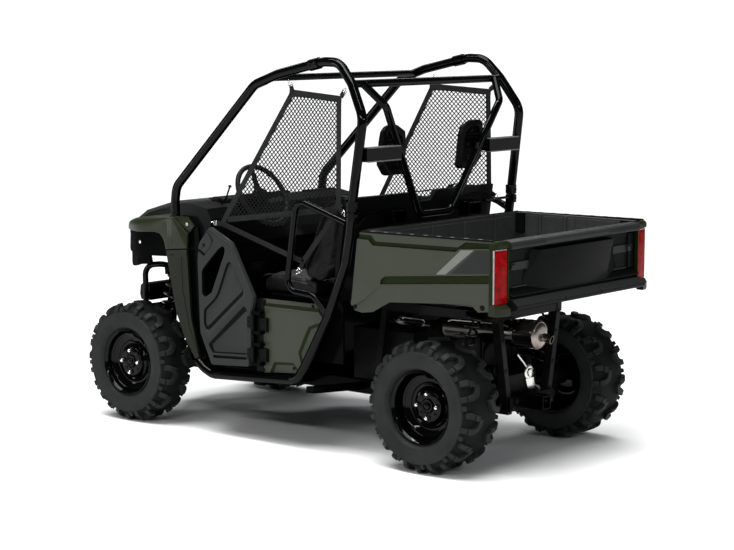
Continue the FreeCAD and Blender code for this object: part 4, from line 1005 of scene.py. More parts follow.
# ------------------------------------------------------------------ belts
bt = MB()
bs = MB()
for sgn in (1, -1):
    y = sgn * 440
    pts = [(-400, y, 1172), (-372, y, 1184), (-330, y, 1190), (-294, y, 1180), (-273, y, 1150), (-237, y, 1062), (-206, y, 990), (-165, y + sgn * 4, 898), (-143, y + sgn * 8, 846), (-152, y + sgn * 14, 822), (-176, y + sgn * 24, 806)]
    fine = path_round(pts, 40)
    nf = []
    for i in range(len(fine)):
        d = (fine[min(i + 1, len(fine) - 1)] - fine[max(0, i - 1)]).normalized()
        nf.append(tuple(d.cross(Vector((0, 1, 0)))))
    bt.join(ribbon(fine, nf, 46, 2.2))
    for off in (-20, 20):
        bt.join(ribbon([p + Vector((0, off, 0)) + Vector(n) * -1.3 for p, n in zip(fine, nf)], nf, 1.2, 0.8, 1))
    # lap run to the buckle by the middle
    lap = [(-176, sgn * 464, 808), (-150, sgn * 400, 812), (-130, sgn * 290, 815), (-140, sgn * 150, 812), (-170, sgn * 60, 806)]
    lp = path_round(lap, 60)
    bt.join(ribbon(lp, (0.25, 0, 1), 46, 2.2))
    # bright guide ring on the shoulder run, tongue and buckle
    ring = [(-262, y - 27, 1112), (-262, y + 27, 1112), (-251, y + 27, 1088), (-251, y - 27, 1088)]
    bs.join(tube([Vector(p) + Vector((8, 0, 4)) for p in ring], 2.6, 8, closed=True))
    bs.join(ribbon([(-152, sgn * 52, 806), (-176, sgn * 34, 800)], (0.2, 0, 1), 30, 3))
to_object("belt_webbing", bt, [WEB, THREAD], "chassis", ("seat_belts",), sharp=50)
to_object("belt_hardware", bs, [BRIGHT], "chassis", bevel=0.4)
bc = MB()
for sgn in (1, -1):
    bc.join(prism(rounded([(-196, sgn * 18), (-132, sgn * 18), (-132, sgn * 52), (-196, sgn * 52)], 8), 792, 816, "xy"))
    bc.join(prism(rounded([(-412, sgn * 410), (-388, sgn * 410), (-388, sgn * 470), (-412, sgn * 470)], 6), 1136, 1186, "xy"))
to_object("belt_buckles", bc, [BLACK], "chassis", bevel=3, seg=3)


# ------------------------------------------------------------------ side nets
def net_y(x, z):
    f = max(0.0, (z - 1064) / 601.0)
    return 574.0 - f * (10 + 41 * min(1.0, max(0.0, (x + 431) / 325.0)))


NETP = [(-112, 1656), (-420, 1637), (-424, 1150), (-150, 1106), (-128, 1064), (-78, 1042), (-34, 1037), (10, 1041), (42, 1048), (70, 1066), (82, 1076), (258, 1054)]


def clip_line(a, b, poly):
    """Parts of the segment a-b inside the outline."""
    a, b = Vector(a), Vector(b)
    d = b - a
    ts = []
    n = len(poly)
    for i in range(n):
        p, q = Vector(poly[i]), Vector(poly[(i + 1) % n])
        e = q - p
        den = d.x * e.y - d.y * e.x
        if abs(den) < 1e-9:
            continue
        w = p - a
        t = (w.x * e.y - w.y * e.x) / den
        u = (w.x * d.y - w.y * d.x) / den
        if 0 <= u < 1:
            ts.append(t)
    ts.sort()
    return [(a + d * ts[i], a + d * ts[i + 1]) for i in range(0, len(ts) - 1, 2)]


def net(sgn, tag):
    mb = MB()
    pitch, wd = 17.0, 5.0
    step = pitch * math.sqrt(2)
    for dirn, lift in (((1, 1), 0.55), ((1, -1), -0.55)):
        c = -2600.0
        while c < 2600:
            if dirn == (1, 1):
                a, b = (-1500.0, -1500 + c + 1300), (1500.0, 1500 + c + 1300)
            else:
                a, b = (-1500.0, 1500 + c + 1300), (1500.0, -1500 + c + 1300)
            for p, q in clip_line(a, b, NETP):
                k = max(1, int((q - p).length / 40))
                pts = []
                for j in range(k + 1):
                    s = p + (q - p) * (j / k)
                    pts.append((s.x, sgn * (net_y(s.x, s.y) + lift), s.y))
                mb.join(ribbon(pts, (0, 1, 0), wd, 1.1))
            c += step
    def run(pts, w, t=2.0, m=1):
        k = []
        for a, b in zip(pts, pts[1:]):
            a, b = Vector(a), Vector(b)
            n = max(1, int((b - a).length / 60))
            for j in range(n):
                s = a + (b - a) * (j / n)
                k.append((s.x, sgn * net_y(s.x, s.y), s.y))
        e = pts[-1]
        k.append((e[0], sgn * net_y(e[0], e[1]), e[1]))
        mb.join(ribbon(k, (0, 1, 0), w, t, m))
    run([(-90, 1658), (-440, 1636)], 30)                       # top strap
    run([(-424, 1650), (-428, 1150)], 28)                      # rear strap
    run([(-112, 1662), (300, 1024)], 28)                       # slanted front strap
    run([(-424, 1166), (-372, 1072), (-212, 884)], 26)         # rear of the V
    run([(306, 1030), (-216, 884)], 24)                        # front of the V
    run([(262, 1050), (-410, 1140)], 26, 2.6)                  # level lower strap
    run([(-112, 1650), (-404, 1642)], 22, 3.0)
    o = to_object("side_net_" + tag, mb, [NET, WEB], "chassis", ("side_nets",), sharp=50)
    # clips and short end straps with bright hooks
    web, hk = MB(), MB()

    def clip(a, b, w=24, hook=True):
        A, B = Vector((a[0], sgn * a[1], a[2])), Vector((b[0], sgn * b[1], b[2]))
        web.join(ribbon([A, (A + B) / 2, B], (0, 1, 0), w, 2.4))
        if hook:
            d = (B - A).normalized()
            s = d.cross(Vector((0, sgn, 0))).normalized()
            lp = [B - s * (w * 0.55) - d * 5, B + s * (w * 0.55) - d * 5, B + s * (w * 0.45) + d * 9, B - s * (w * 0.45) + d * 9]
            hk.join(tube(lp, 2.4, 8, closed=True))
            hk.join(tube([B + d * 6, B + d * 18, B + d * 24 + Vector((0, sgn * 6, 0)), B + d * 16 + Vector((0, sgn * 10, 0))], 2.4, 8, 6))
    clip((-108, 524, 1668), (-104, 532, 1694))
    clip((-436, 562, 1648), (-462, 570, 1672))
    clip((306, 574, 1026), (344, 574, 1030), 22)
    clip((-428, 572, 1148), (-462, 580, 1126), 22)
    clip((-210, 574, 876), (-196, 580, 846), 22)
    w = to_object("side_net_straps_" + tag, web, [WEB], "chassis", sharp=50)
    h = to_object("side_net_hooks_" + tag, hk, [BRIGHT], "chassis", sharp=60)
    return o


net(1, "left")
net(-1, "right")


# ------------------------------------------------------------------ seat side panels
def two(fn):
    for s, t in ((1, "left"), (-1, "right")):
        fn(s, t)


def flip(mb, sgn):
    return mb if sgn > 0 else mb.mirror()


def seat_panel(sgn, tag):
    out = [(20, 694), (-312, 698), (-324, 662), (-350, 637), (-298, 534), (-236, 412), (-186, 362), (20, 345)]
    mb = prism(out, 576, 592, m=0)
    band = prism([(24, 676), (-340, 682), (-340, 663), (24, 661)], 588.5, 600, m=1)
    main = prism([(10, 652), (-306, 652), (-336, 634), (-288, 544), (-222, 418), (-180, 372), (10, 356)], 590.4, 600, m=0)
    so = [(-345, 622), (-262, 590), (-246, 563), (-197, 464), (-213, 405), (-262, 500), (-300, 560)]
    sn = [(-345, 606), (-272, 578), (-258, 552), (-211, 458), (-222, 420), (-262, 500), (-300, 560)]
    slash = loftp([(sn, 584.0), (so, 590.4), (so, 600)], "xz", 0, 1)
    to_ = [(-18, 350), (-44, 402), (-165, 411), (-197, 378), (-180, 350)]
    tn = [(-34, 346), (-56, 389), (-158, 398), (-186, 370), (-176, 346)]
    trap = loftp([(tn, 584.0), (to_, 590.4), (to_, 600)], "xz", 0, 1)
    # the band recess, and the walls of the slash and trap recesses, are cut with painted shade (dark green); the other
    # recess floors keep the panel green
    carve("seat_side_panel_" + tag, flip(mb, sgn), [flip(q, sgn) for q in (band, main, slash, trap)], [GREEN, GREEN_DARK_AND_SHADE], "chassis", ("seat_side_panels",), bevel=1.8, seg=3)
    det = MB()
    det.join(prism(rounded([(62, 690), (19, 696), (8, 612), (22, 600), (22, 348), (62, 348)], 4), 566, 594))
    det.join(bolt((10, 592, 684), (0, 1, 0), 6, 3.5, hexa=False)); det.join(bolt((-290, 592, 686), (0, 1, 0), 6, 3.5, hexa=False))
    det.join(bolt((20, 592, 356), (0, 1, 0), 6, 3.5, hexa=False)); det.join(bolt((-170, 592, 384), (0, 1, 0), 5, 3.0, hexa=False))
    to_object("seat_panel_post_" + tag, flip(det, sgn), [BLACK], "chassis", ("seat_side_panels",), bevel=1.2)


two(seat_panel)


# ------------------------------------------------------------------ doors
def door(sgn, tag):
    out = rounded([(334, 1014), (193, 947), (50, 702), (72, 606), (72, 470), (84, 440), (87, 369), (330, 352), (403, 500), (417, 843), (411, 917), (400, 939)], 10, 3)
    mb = prism(out, 604.5, 623.5, m=0)
    H = rounded([(249, 931), (235, 914), (241, 889), (326, 700), (366, 674), (389, 686), (390, 798), (378, 816), (283, 910)], 9, 3)
    hole = prism(H, 580, 640, m=1)
    us = rounded([(205, 860), (117, 727), (120, 706), (342, 518), (368, 521), (380, 545), (378, 614), (306, 675), (286, 704), (226, 846)], 9, 3)
    uf = rounded([(208, 848), (130, 727), (143, 714), (360, 534), (367, 537), (373, 549), (372, 608), (301, 669), (280, 700), (221, 838)], 7, 3)
    up = loftp([(uf, 614.5), (us, 623.6), (us, 640)], "xz", 0, 1)
    ls = rounded([(114, 656), (97, 642), (98, 424), (324, 409), (352, 449)], 9, 3)
    lf = rounded([(110, 630), (102, 624), (103, 430), (317, 416), (332, 448)], 7, 3)
    lowp = loftp([(lf, 614.5), (ls, 623.6), (ls, 640)], "xz", 0, 1)
    slot = prism(rounded([(322, 400), (100, 413), (100, 400), (316, 386)], 4, 2), 617, 640, m=1)
    # the through-hole, the slot and the recess walls take the painted shade; the recess floors keep the door grey
    carve("door_%s_panel" % tag, flip(mb, sgn), [flip(q, sgn) for q in (hole, up, lowp, slot)], [DOOR, DOOR_RECESS_SHADE], "door_" + tag, ("door_" + tag,), bevel=2.2, seg=3)
    det, dk, st, bk = MB(), MB(), MB(), MB()
    # rolled edge along the top and the rear of the skin
    edge = [(338, 1003), (196, 937), (60, 700), (80, 612)]
    det.join(tube([(x, 622.6, z) for x, z in edge], 4.0, 10, 20))
    # latch plate; its slot, its groove and the ring under the screw are dark pieces of painted shade
    det.join(prism(rounded([(341, 1003), (314, 953), (336, 912), (368, 884), (402, 903), (396, 936)], 5, 3), 622.5, 627, draft=1.5))
    dk.join(prism(rounded([(411, 904), (396, 900), (368, 881), (372, 873), (394, 888), (414, 894)], 3, 2), 621, 627.6))
    dk.join(prism([(348, 990), (344, 991), (314, 950), (318, 947)], 622, 627.5))
    dk.join(solid_rev([(0, 9), (2.5, 8)], (372, 626, 925), (0, 1, 0), 20))
    st.join(bolt((372, 628, 925), (0, 1, 0), 4.2, 3.0, hexa=False, washer=False))
    st.join(bolt((384, 626.6, 910), (0, 1, 0), 3.4, 2.4, hexa=False, washer=False))
    # hinge leaves, barrels, screws
    for z0, z1 in ((395, 470), (545, 620)):
        bk.join(solid_rev([(0, 6.6), (1.2, 8), (z1 - z0 - 1.2, 8), (z1 - z0, 6.6)], (58, 626, z0), (0, 0, 1), 24))
        bk.join(prism(rounded([(60, z0 + 8), (92, z0 + 12), (92, z1 - 12), (60, z1 - 8)], 6, 3), 621, 630, draft=1.0))
        for zz in (z0 + 24, z1 - 24):
            st.join(bolt((80, 629.6, zz), (0, 1, 0), 4.2, 2.6, hexa=False, washer=False))
    to_object("door_%s_trim" % tag, flip(det, sgn), [DOOR], "door_" + tag, bevel=1.0)
    to_object("door_%s_hinges" % tag, flip(bk, sgn), [BLACK], "door_" + tag, bevel=1.0)
    to_object("door_%s_slots" % tag, flip(dk, sgn), [BLACK_AND_SHADE], "door_" + tag, sharp=30)
    to_object("door_%s_screws" % tag, flip(st, sgn), [UPRIGHT], "door_" + tag, sharp=30)
    # inner ribs and the latch striker
    inr = MB()
    inr.join(bar((110, 602.2, 440), (380, 602.2, 620), 4.5, 20, side=(0, 1, 0)))
    inr.join(bar((110, 602.2, 640), (320, 602.2, 440), 4.5, 20, side=(0, 1, 0)))
    inr.join(prism(rounded([(320, 980), (376, 940), (376, 900), (336, 900)], 6, 2), 599, 605))
    to_object("door_%s_inner_ribs" % tag, flip(inr, sgn), [DOOR], "door_" + tag, bevel=1.0)
    # block on the panel side that carries the pins
    pb = MB()
    for z0, z1 in ((397, 462), (540, 607)):
        pb.join(prism(rounded([(-14, z0), (38, z0), (42, z0 + 8), (42, z1 - 8), (38, z1), (-14, z1)], 6, 3), 591, 608, draft=3))
        for zz in (z0 + 16, z1 - 16):
            pb.join(bolt((4, 607.6, zz), (0, 1, 0), 5.5, 4))
    to_object("hinge_blocks_" + tag, flip(pb, sgn), [BLACK], "chassis", bevel=1.2, seg=2)


two(door)


# ------------------------------------------------------------------ cargo bed
def bed_side(sgn, tag):
    out = [(-580, 1050), (-1308, 1057), (-1308, 786), (-1320, 784), (-1320, 757), (-1317, 739), (-1230, 746), (-1192, 779), (-743, 748), (-645, 695), (-581, 686), (-540, 692), (-526, 728), (-531, 745), (-564, 1022)]
    mb = prism(out, 590, 603.5, m=0)
    groove = prism([(-520, 1043), (-648, 1040), (-671, 1015), (-1129, 1022), (-1171, 1047), (-1330, 1051), (-1330, 1030), (-1139, 1015), (-1115, 1001), (-654, 995), (-628, 1019), (-520, 1021)], 595, 612, m=1)
    low = prism([(-697, 825), (-701, 847), (-722, 862), (-740, 865), (-1330, 917), (-1330, 881)], 596, 612, m=1)

    def face(x, z):
        return 603.0 - 0.105 * max(0.0, 824 + 0.0973 * (-745 - x) - z)
    reg = [(-697, 819), (-589, 739), (-500, 700), (-500, 660), (-1340, 660), (-1340, 882)]
    n = len(reg)
    wedge = MB()
    wedge.add([(x, face(x, z), z) for x, z in reg] + [(x, 620, z) for x, z in reg],
              [list(range(n)), list(range(2 * n - 1, n - 1, -1))] + [[i, (i + 1) % n, n + (i + 1) % n, n + i] for i in range(n)], 0)
    # the groove and the low band are cut with painted shade (dark green) over their walls and floors
    carve("bed_side_" + tag, flip(mb, sgn), [flip(q, sgn) for q in (groove, low, wedge)], [GREEN, GREEN_DARK_AND_SHADE], "cargo_bed", ("bed_sides",), bevel=1.6, seg=3)
    d = prism([(-1146, 1011), (-1214, 1016), (-1062, 899), (-1010, 895)], 603.0, 604.0)
    to_object("bed_stripe_grey_" + tag, flip(d, sgn), [STRIPE_GREY_AND_HIGHLIGHT], "cargo_bed", sharp=30)
    d = prism([(-1225, 1016), (-1300, 1020), (-1300, 921), (-1090, 904)], 603.0, 604.0)
    to_object("bed_stripe_dark_" + tag, flip(d, sgn), [STRIPE_DK], "cargo_bed", sharp=30)
    b = MB()
    for x, z in ((-543, 713), (-1253, 770)):
        y = face(x, z)
        b.join(solid_rev([(0, 13), (0.8, 13), (1.2, 11.5)], (x, y, z), (0, 1, 0), 24))
        b.join(bolt((x, y + 0.6, z), (0, 1, 0), 7.5, 4.0, hexa=False, washer=False))
    # black top rail
    b.join(prism(rounded([(-580, 1049.5), (-1306, 1056.5), (-1306, 1062), (-1300, 1064), (-588, 1057), (-580, 1053)], 2, 2), 582, 604.5))
    to_object("bed_rail_" + tag, flip(b, sgn), [BLACK], "cargo_bed", bevel=1.2)
    # clips along the rail top in light grey: a painted highlight on the rail's top edge
    c = MB()
    for k in range(9):
        x = -640 - 74 * k
        z = 1057 + (-(x + 580)) * 0.0096
        c.join(prism(rounded([(x, z), (x - 22, z + 0.2), (x - 22, z + 1.8), (x, z + 1.6)], 0.5, 1), 592, 601))
    to_object("bed_rail_clips_painted_highlight_" + tag, flip(c, sgn), [STRIPE_GREY_AND_HIGHLIGHT], "cargo_bed", bevel=0.4)
    # corner caps above and below the lamp: dark green over, plain green with a sloped top facet under
    k = MB()
    ct_ = [(-1294, 604.5), (-1318, 604.5), (-1332, 588), (-1338, 514), (-1318, 514), (-1294, 590)]
    k.join(loftp([(inset(ct_, 3), 1026.5), (ct_, 1034), (ct_, 1048), (inset(ct_, 8), 1058)], "xy"))
    to_object("bed_corner_top_" + tag, flip(k, sgn), [GREEN_DARK_AND_SHADE], "cargo_bed", bevel=1.5, seg=2)
    k = MB()
    cl_ = [(-1292, 604), (-1328, 604), (-1350, 566), (-1356, 528), (-1320, 528), (-1292, 560)]
    cs_ = [(-1292, 604), (-1318, 603), (-1332, 570), (-1336, 530), (-1320, 528), (-1292, 560)]
    k.join(loftp([(inset(cl_, 3), 737), (cl_, 741), (cl_, 770), (cs_, 785.5)], "xy"))
    to_object("bed_corner_low_" + tag, flip(k, sgn), [GREEN_F], "cargo_bed", bevel=1.4, seg=2)


two(bed_side)

# inside of the bed: floor ribs, wide wall panels with grooves between them, stake pockets
ins = MB()
for k in range(11):
    y = -500 + 100 * k
    ins.join(prism(rounded([(-612, y - 9), (-1278, y - 9), (-1278, y + 9), (-612, y + 9)], 4, 2), 782.5, 787.5, "xy"))
for sgn in (1, -1):
    for x0, x1 in ((-615, -736), (-764, -880), (-917, -950), (-958, -1015), (-1023, -1180), (-1200, -1280)):
        q = prism([(x0, 552.0), (x1, 552.0), (x1 - 3, 555.4), (x0 + 3, 555.4)], 800, 1046, "xy")
        ins.join(flip(q, sgn))
    for x in (-750, -898):
        ins.join(flip(prism([(x - 6, 549), (x + 6, 549), (x + 9, 555.4), (x - 9, 555.4)], 800, 1052, "xy"), sgn))
for y0, y1 in ((-520, -375), (-360, -130), (-115, 115), (130, 360), (375, 520)):
    ins.join(prism([(-614.0, y0), (-610, y0 - 4), (-610, y1 + 4), (-614.0, y1)], 800, 1040, "xy"))
to_object("bed_ribs", ins, [BEDIN], "cargo_bed", bevel=1.2)
pk = MB()
for sgn in (1, -1):
    for x in (-640, -1240):
        pk.join(flip(prism(rounded([(x - 24, 536), (x + 24, 536), (x + 24, 556), (x - 24, 556)], 5, 2), 960, 1055.5, "xy"), sgn))
    pk.join(flip(block(-1316, -1282, 513, 556, 786, 1026), sgn))
to_object("bed_stake_pockets", pk, [BLACK], "cargo_bed", bevel=1.2)
fr = MB()
fr.join(tube([(-596, -582, 1052), (-596, 582, 1052)], 9, 14))
to_object("bed_front_rail", fr, [BLACK], "cargo_bed", sharp=40)


# ------------------------------------------------------------------ tail lamps
def lamp(sgn, tag):
    red = rounded([(-1299, 598), (-1314, 598), (-1325, 587), (-1331, 520), (-1320, 518), (-1312, 585)], 4, 3)
    mb = loftp([(inset(red, 2.5), 787), (red, 792), (red, 1018), (inset(red, 2.5), 1023)], "xy")
    to_object("tail_lamp_" + tag, flip(mb, sgn), [RED], "cargo_bed", ("tail_lamps",), sharp=50)
    # clear edge strip down the lens side, and a thin light cap along the top as a painted highlight
    c = MB()
    c.join(prism([(-1311.5, 599.6), (-1314.5, 600.2), (-1318.5, 596.6), (-1317.8, 595.4), (-1313.6, 598.8)], 790, 1021, "xy"))
    c.join(prism([(-1320, 592), (-1326, 584), (-1331, 524), (-1329, 524), (-1324, 583), (-1318, 591)], 1019, 1022.6, "xy"))
    to_object("tail_lamp_edge_and_highlight_" + tag, flip(c, sgn), [CLEAR_AND_HIGHLIGHT], "cargo_bed", bevel=0.4)
    g = MB()
    g.join(prism([(-1294, 596), (-1294, 603.6), (-1310, 603.6), (-1313, 601.6), (-1308, 598)], 784, 1028, "xy"))
    g.join(prism([(-1318, 518), (-1333, 519), (-1334.5, 510.5), (-1316, 510.5)], 790, 1024, "xy"))
    to_object("tail_lamp_flange_" + tag, flip(g, sgn), [GREEN_DARK_AND_SHADE], "cargo_bed", bevel=1.0)
    # moulded steps across the inside of the lens
    d = MB()
    for k in range(5):
        z = 826 + 42 * k
        d.join(prism([(-1326.6, 583), (-1332.0, 526), (-1331.4, 525.6), (-1326.0, 583)], z, z + 2.2, "xy"))
    to_object("tail_lamp_steps_" + tag, flip(d, sgn), [RED], "cargo_bed", sharp=40)


two(lamp)

# ------------------------------------------------------------------ tailgate and rear step
GY = 506.5
plate = prism([(-GY, 830), (GY, 830), (GY, 1044), (-GY, 1044)], -1306, -1291.5, "yz", 0)
gcut = []
for q in (1, -1):
    gcut.append(prism([(q * 318, 988), (q * 452, 992), (q * 452, 852), (q * 318, 852)], -1320, -1302.5, "yz", 0))
carve("tailgate_panel", plate, gcut, [BLACK, BLACK_AND_SHADE], "tailgate", ("tailgate",), bevel=1.6, seg=2)
gt = MB()
# raised block in the middle: large front face, slanted sides, undercut foot
gt.join(loftp([([(309, 1003), (-309, 1003), (-375, 862), (-330, 822), (330, 822), (375, 862)], -1303),
               ([(288, 1000), (-288, 1000), (-228, 824), (-218, 818), (218, 818), (228, 824)], -1344.5)], "yz"))
# sloped ledge under the panel, hinge barrel, end posts
gt.join(prism([(-1343, 813), (-1292, 813), (-1292, 845), (-1305.5, 845), (-1343, 823)], -GY, GY))
gt.join(solid_rev([(-GY, 6), (GY, 6)], (-1340, 0, 818), (0, 1, 0), 20))
for q in (1, -1):
    a, b = sorted((q * 462, q * 505))
    gt.join(prism([(a, 846), (b, 846), (b, 1010), (a, 1010)], -1313, -1303, "yz", draft=0))
to_object("tailgate_relief", gt, [BLACK], "tailgate", ("tailgate",), bevel=2.6, seg=3)
# the whole rail is drawn in the lighter grey as painted top light
rail = MB()
ra = [(-1292, 1056), (-1328, 1054.5), (-1343, 1046), (-1347.5, 1038), (-1347, 1022), (-1338, 1018), (-1306, 1012), (-1292, 1012)]
for y0, y1, dz in ((-GY, -252, 0), (-252, 252, -2.2), (252, GY, 0)):
    q = [(x + (1.6 if dz and x < -1330 else 0), z + (dz if z > 1040 and x < -1300 else 0)) for x, z in ra]
    n = len(q)
    rail.add([(x, y, z) for y in (y0, y1) for x, z in q], [list(range(n)), list(range(n, 2 * n))] + [[i, (i + 1) % n, n + (i + 1) % n, n + i] for i in range(n)])
to_object("tailgate_rail", rail, [GREY_AND_TOPLIGHT], "tailgate", ("tailgate",), bevel=1.5, seg=3)
lat, lb = MB(), MB()
for q in (1, -1):
    a, b = sorted((q * 334, q * 448))
    lat.join(prism(rounded([(a, 922), (b, 922), (b, 957), (a, 957)], 4, 3), -1311, -1302, "yz"))
    a, b = sorted((q * 448, q * 478))
    lat.join(prism(rounded([(a, 926), (b, 926), (b, 958), (a, 958)], 6, 3), -1320, -1304, "yz"))
    lb.join(tube([(-1322, q * 452, 950), (-1326, q * 466, 952), (-1322, q * 478, 944), (-1318, q * 474, 930)], 2.6, 8, 8))
    a, b = sorted((q * 318, q * 452))
    lat.join(prism([(a, 846), (b, 846), (b, 852), (a, 852)], -1309, -1303, "yz"))
to_object("tailgate_latches", lat, [GREY_AND_TOPLIGHT], "tailgate", bevel=1.4, seg=3)
to_object("tailgate_latch_rods", lb, [UPRIGHT], "tailgate", sharp=50)

stp = MB()
prof = [(-1290.5, 786), (-1317, 786), (-1317, 760), (-1368, 758), (-1376, 764), (-1379.5, 774), (-1379.5, 779), (-1352, 803.5), (-1290.5, 803.5)]
for y0, y1 in ((-509, -144), (-140, 140), (144, 509)):
    n = len(prof)
    stp.add([(x, y, z) for y in (y0, y1) for x, z in prof], [list(range(n)), list(range(n, 2 * n))] + [[i, (i + 1) % n, n + (i + 1) % n, n + i] for i in range(n)])
    # the sloped top facet and the top face take the lighter grey as painted top light
    stp.m[-3] = 1; stp.m[-2] = 1
stp.join(block(-1293, -1284, -509, 509, 771, 788))
to_object("rear_step", stp, [BLACK, GREY_AND_TOPLIGHT], "cargo_bed", ("bed_rear_step",), bevel=2.0, seg=3)


# ------------------------------------------------------------------ front end
def lamp_front(sgn, tag):
    pl = [(1204, 246), (1221, 246), (1191, 321), (1109, 403), (1101, 396), (1170, 312)]
    mb = prism(inset(pl, 0.5), 885, 933, "xy", 0)
    to_object("headlight_" + tag, flip(mb, sgn), [CLEAR_AND_HIGHLIGHT], "chassis", ("headlights",), bevel=3, seg=3)
    q = MB()
    for t in (0.2, 0.5, 0.8):
        x, y = 1180 - 70 * t, 300 + 85 * t
        q.join(solid_rev([(0, 16), (3, 15), (8, 9)], (x, y, 909), (0.6, 0.75, 0), 24))
    to_object("headlight_bowls_" + tag, flip(q, sgn), [BRIGHT], "chassis", sharp=30)


two(lamp_front)

# front fender: rolled skirt over the wheel, outer wall, strip down behind the wheel, small rear facet
EDGE = [(600, 604), (640, 604), (664, 604), (700, 603.5), (760, 602), (840, 594), (900, 575), (960, 543), (1020, 502), (1090, 433), (1150, 371), (1196, 327)]
TOPZ = [(600, 1040), (660, 1038), (760, 1034), (860, 1024), (960, 1010), (1060, 994), (1130, 978), (1196, 962)]
LOWZ = [(600, 885), (655, 880), (664, 914), (672, 930), (684, 944), (700, 956), (730, 960), (770, 958), (875, 951), (1196, 944)]


def lut(tab, x):
    for a, b in zip(tab, tab[1:]):
        if x <= b[0]:
            f = (x - a[0]) / (b[0] - a[0])
            return a[1] + (b[1] - a[1]) * min(1.0, max(0.0, f))
    return tab[-1][1]


fxs = [604, 620, 640, 655, 660, 664, 668, 672, 678, 684, 692, 700, 714, 730, 750, 770, 800, 840, 870, 900, 930, 960, 990, 1020, 1055, 1090, 1120, 1150, 1175, 1196]


def fender_mesh():
    mb = MB()
    rows = []
    for x in fxs:
        y, zt, zl = lut(EDGE, x), lut(TOPZ, x), lut(LOWZ, x)
        dy = (lut(EDGE, x + 4) - lut(EDGE, x - 4)) / 8.0
        nn = Vector((-dy, 1)).normalized()
        k = min(1.0, max(0.2, (x - 600) / 160.0))
        yi = 573.0 if x < 675 else 296.0
        rows.append([(x, yi, zt + 1), (x - nn.x * 40 * 0.2, max(yi + 1, y - 46), zt + 0.5), (x - nn.x * 22, max(yi + 2, y - nn.y * 24 * k), zt - 3 * k), (x - nn.x * 10, y - nn.y * 10 * k, zt - 10 * k),
                     (x - nn.x * 3, y - nn.y * 3 * k, zt - 20 * k), (x, y, zt - 34 * k), (x, y + 0.5, zl + 10), (x, y - 1.0, zl + 2), (x - nn.x * 4, y - nn.y * 4, zl), (x - nn.x * 9, y - nn.y * 9, zl + 1),
                     (x - nn.x * 9, y - nn.y * 9, zt - 34 * k), (x - nn.x * 18, max(yi + 1, y - nn.y * 20), zt - 14), (x, yi, zt - 9)])
    n = len(rows[0])
    mb.add([q for w in rows for q in w], [list(range(n)), [(len(rows) - 1) * n + i for i in range(n)]] +
           [[a * n + i, a * n + (i + 1) % n, (a + 1) * n + (i + 1) % n, (a + 1) * n + i] for a in range(len(rows) - 1) for i in range(n)])
    return mb


def fender(sgn, tag):
    f = fender_mesh()
    f.join(loftp([([(608, 1040), (604, 1040), (508, 966), (511, 896), (608, 886)], 590), ([(608, 1040), (604, 1040), (508, 966), (511, 896), (608, 886)], 602), ([(608, 1034), (602, 1034), (512, 964), (515, 899), (608, 889)], 604.5)]))
    f.join(loftp([(q, y) for q, y in ((( [(608, 1046), (520, 1046), (476, 1004), (512, 968), (560, 1002)]), 577), ([(608, 1046), (520, 1046), (476, 1004), (512, 968), (560, 1002)], 588), ([(604, 1043), (522, 1043), (481, 1004), (512, 973), (560, 1006)], 590))]))
    to_object("fender_skin_" + tag, flip(f, sgn), [GREEN_F], "chassis", ("front_fenders",), bevel=1.2, seg=2, angle=40)
    st = prism([(511, 891), (499, 719), (488, 563), (441, 399), (434, 374), (459, 363), (533, 468), (584, 576), (618, 720), (652, 876)], 588, 604.5, m=0)
    cut = prism([(547, 851), (520, 857), (480, 860), (466, 560), (420, 392), (440, 392), (500, 520), (541, 700)], 602.4, 612, m=0)
    # the notch is cut with painted shade (near-black) on its walls and floor
    notch = prism([(618, 858), (603, 866), (602, 861), (617, 853)], 600, 612, m=1)
    carve("fender_strip_" + tag, flip(st, sgn), [flip(cut, sgn), flip(notch, sgn)], [GREEN_S, BLACK_AND_SHADE], "chassis", ("front_fenders",), bevel=2.2, seg=3)
    # black side of the nose under the skirt, set back a little, in black darkened to painted shade
    b = MB()
    bot = [(656, 846), (771, 841), (801, 802), (908, 836), (960, 838), (1040, 842), (1130, 850), (1196, 856)]
    rows = []
    for x in (656, 664, 700, 740, 771, 786, 801, 840, 880, 908, 940, 975, 1010, 1050, 1090):
        y = lut(EDGE, x)
        dy = (lut(EDGE, x + 4) - lut(EDGE, x - 4)) / 8.0
        nn = Vector((-dy, 1)).normalized()
        zb = lut(bot, x)
        zt = min(lut(LOWZ, x) + 6, 964)
        o = 6.0
        rows.append([(x - nn.x * o, y - nn.y * o, zt), (x - nn.x * (o + 2), y - nn.y * (o + 2), (zt + zb) / 2 + 20), (x - nn.x * o, y - nn.y * o, zb + 8), (x - nn.x * (o + 2), y - nn.y * (o + 2), zb),
                     (x - nn.x * (o + 9), y - nn.y * (o + 9), zb), (x - nn.x * (o + 9), y - nn.y * (o + 9), zt)])
    n = len(rows[0])
    b.add([q for w in rows for q in w], [list(range(n)), [(len(rows) - 1) * n + i for i in range(n)]] +
          [[a * n + i, a * n + (i + 1) % n, (a + 1) * n + (i + 1) % n, (a + 1) * n + i] for a in range(len(rows) - 1) for i in range(n)])
    to_object("fender_side_" + tag, flip(b, sgn), [NOSE_SHADE_BLACK], "chassis", bevel=1.0)
    d = MB()
    d.join(solid_rev([(0, 9.5), (1.5, 9.5), (2.5, 7), (3, 4)], (854, lut(EDGE, 854) - 7.5, 903), (0.25, 1, 0), 28))
    to_object("fender_marker_" + tag, flip(d, sgn), [BRIGHT], "chassis", sharp=40)
    d = MB()
    d.join(solid_rev([(0, 13), (1.2, 12.5)], (520, 589.6, 1012), (0, 1, 0), 28))
    to_object("fender_plug_" + tag, flip(d, sgn), [BLACK_AND_SHADE], "chassis", sharp=40)
    d = bolt((520, 590.4, 1012), (0, 1, 0), 6, 4.5, hexa=False)
    to_object("fender_bolt_" + tag, flip(d, sgn), [STEEL], "chassis", sharp=40)


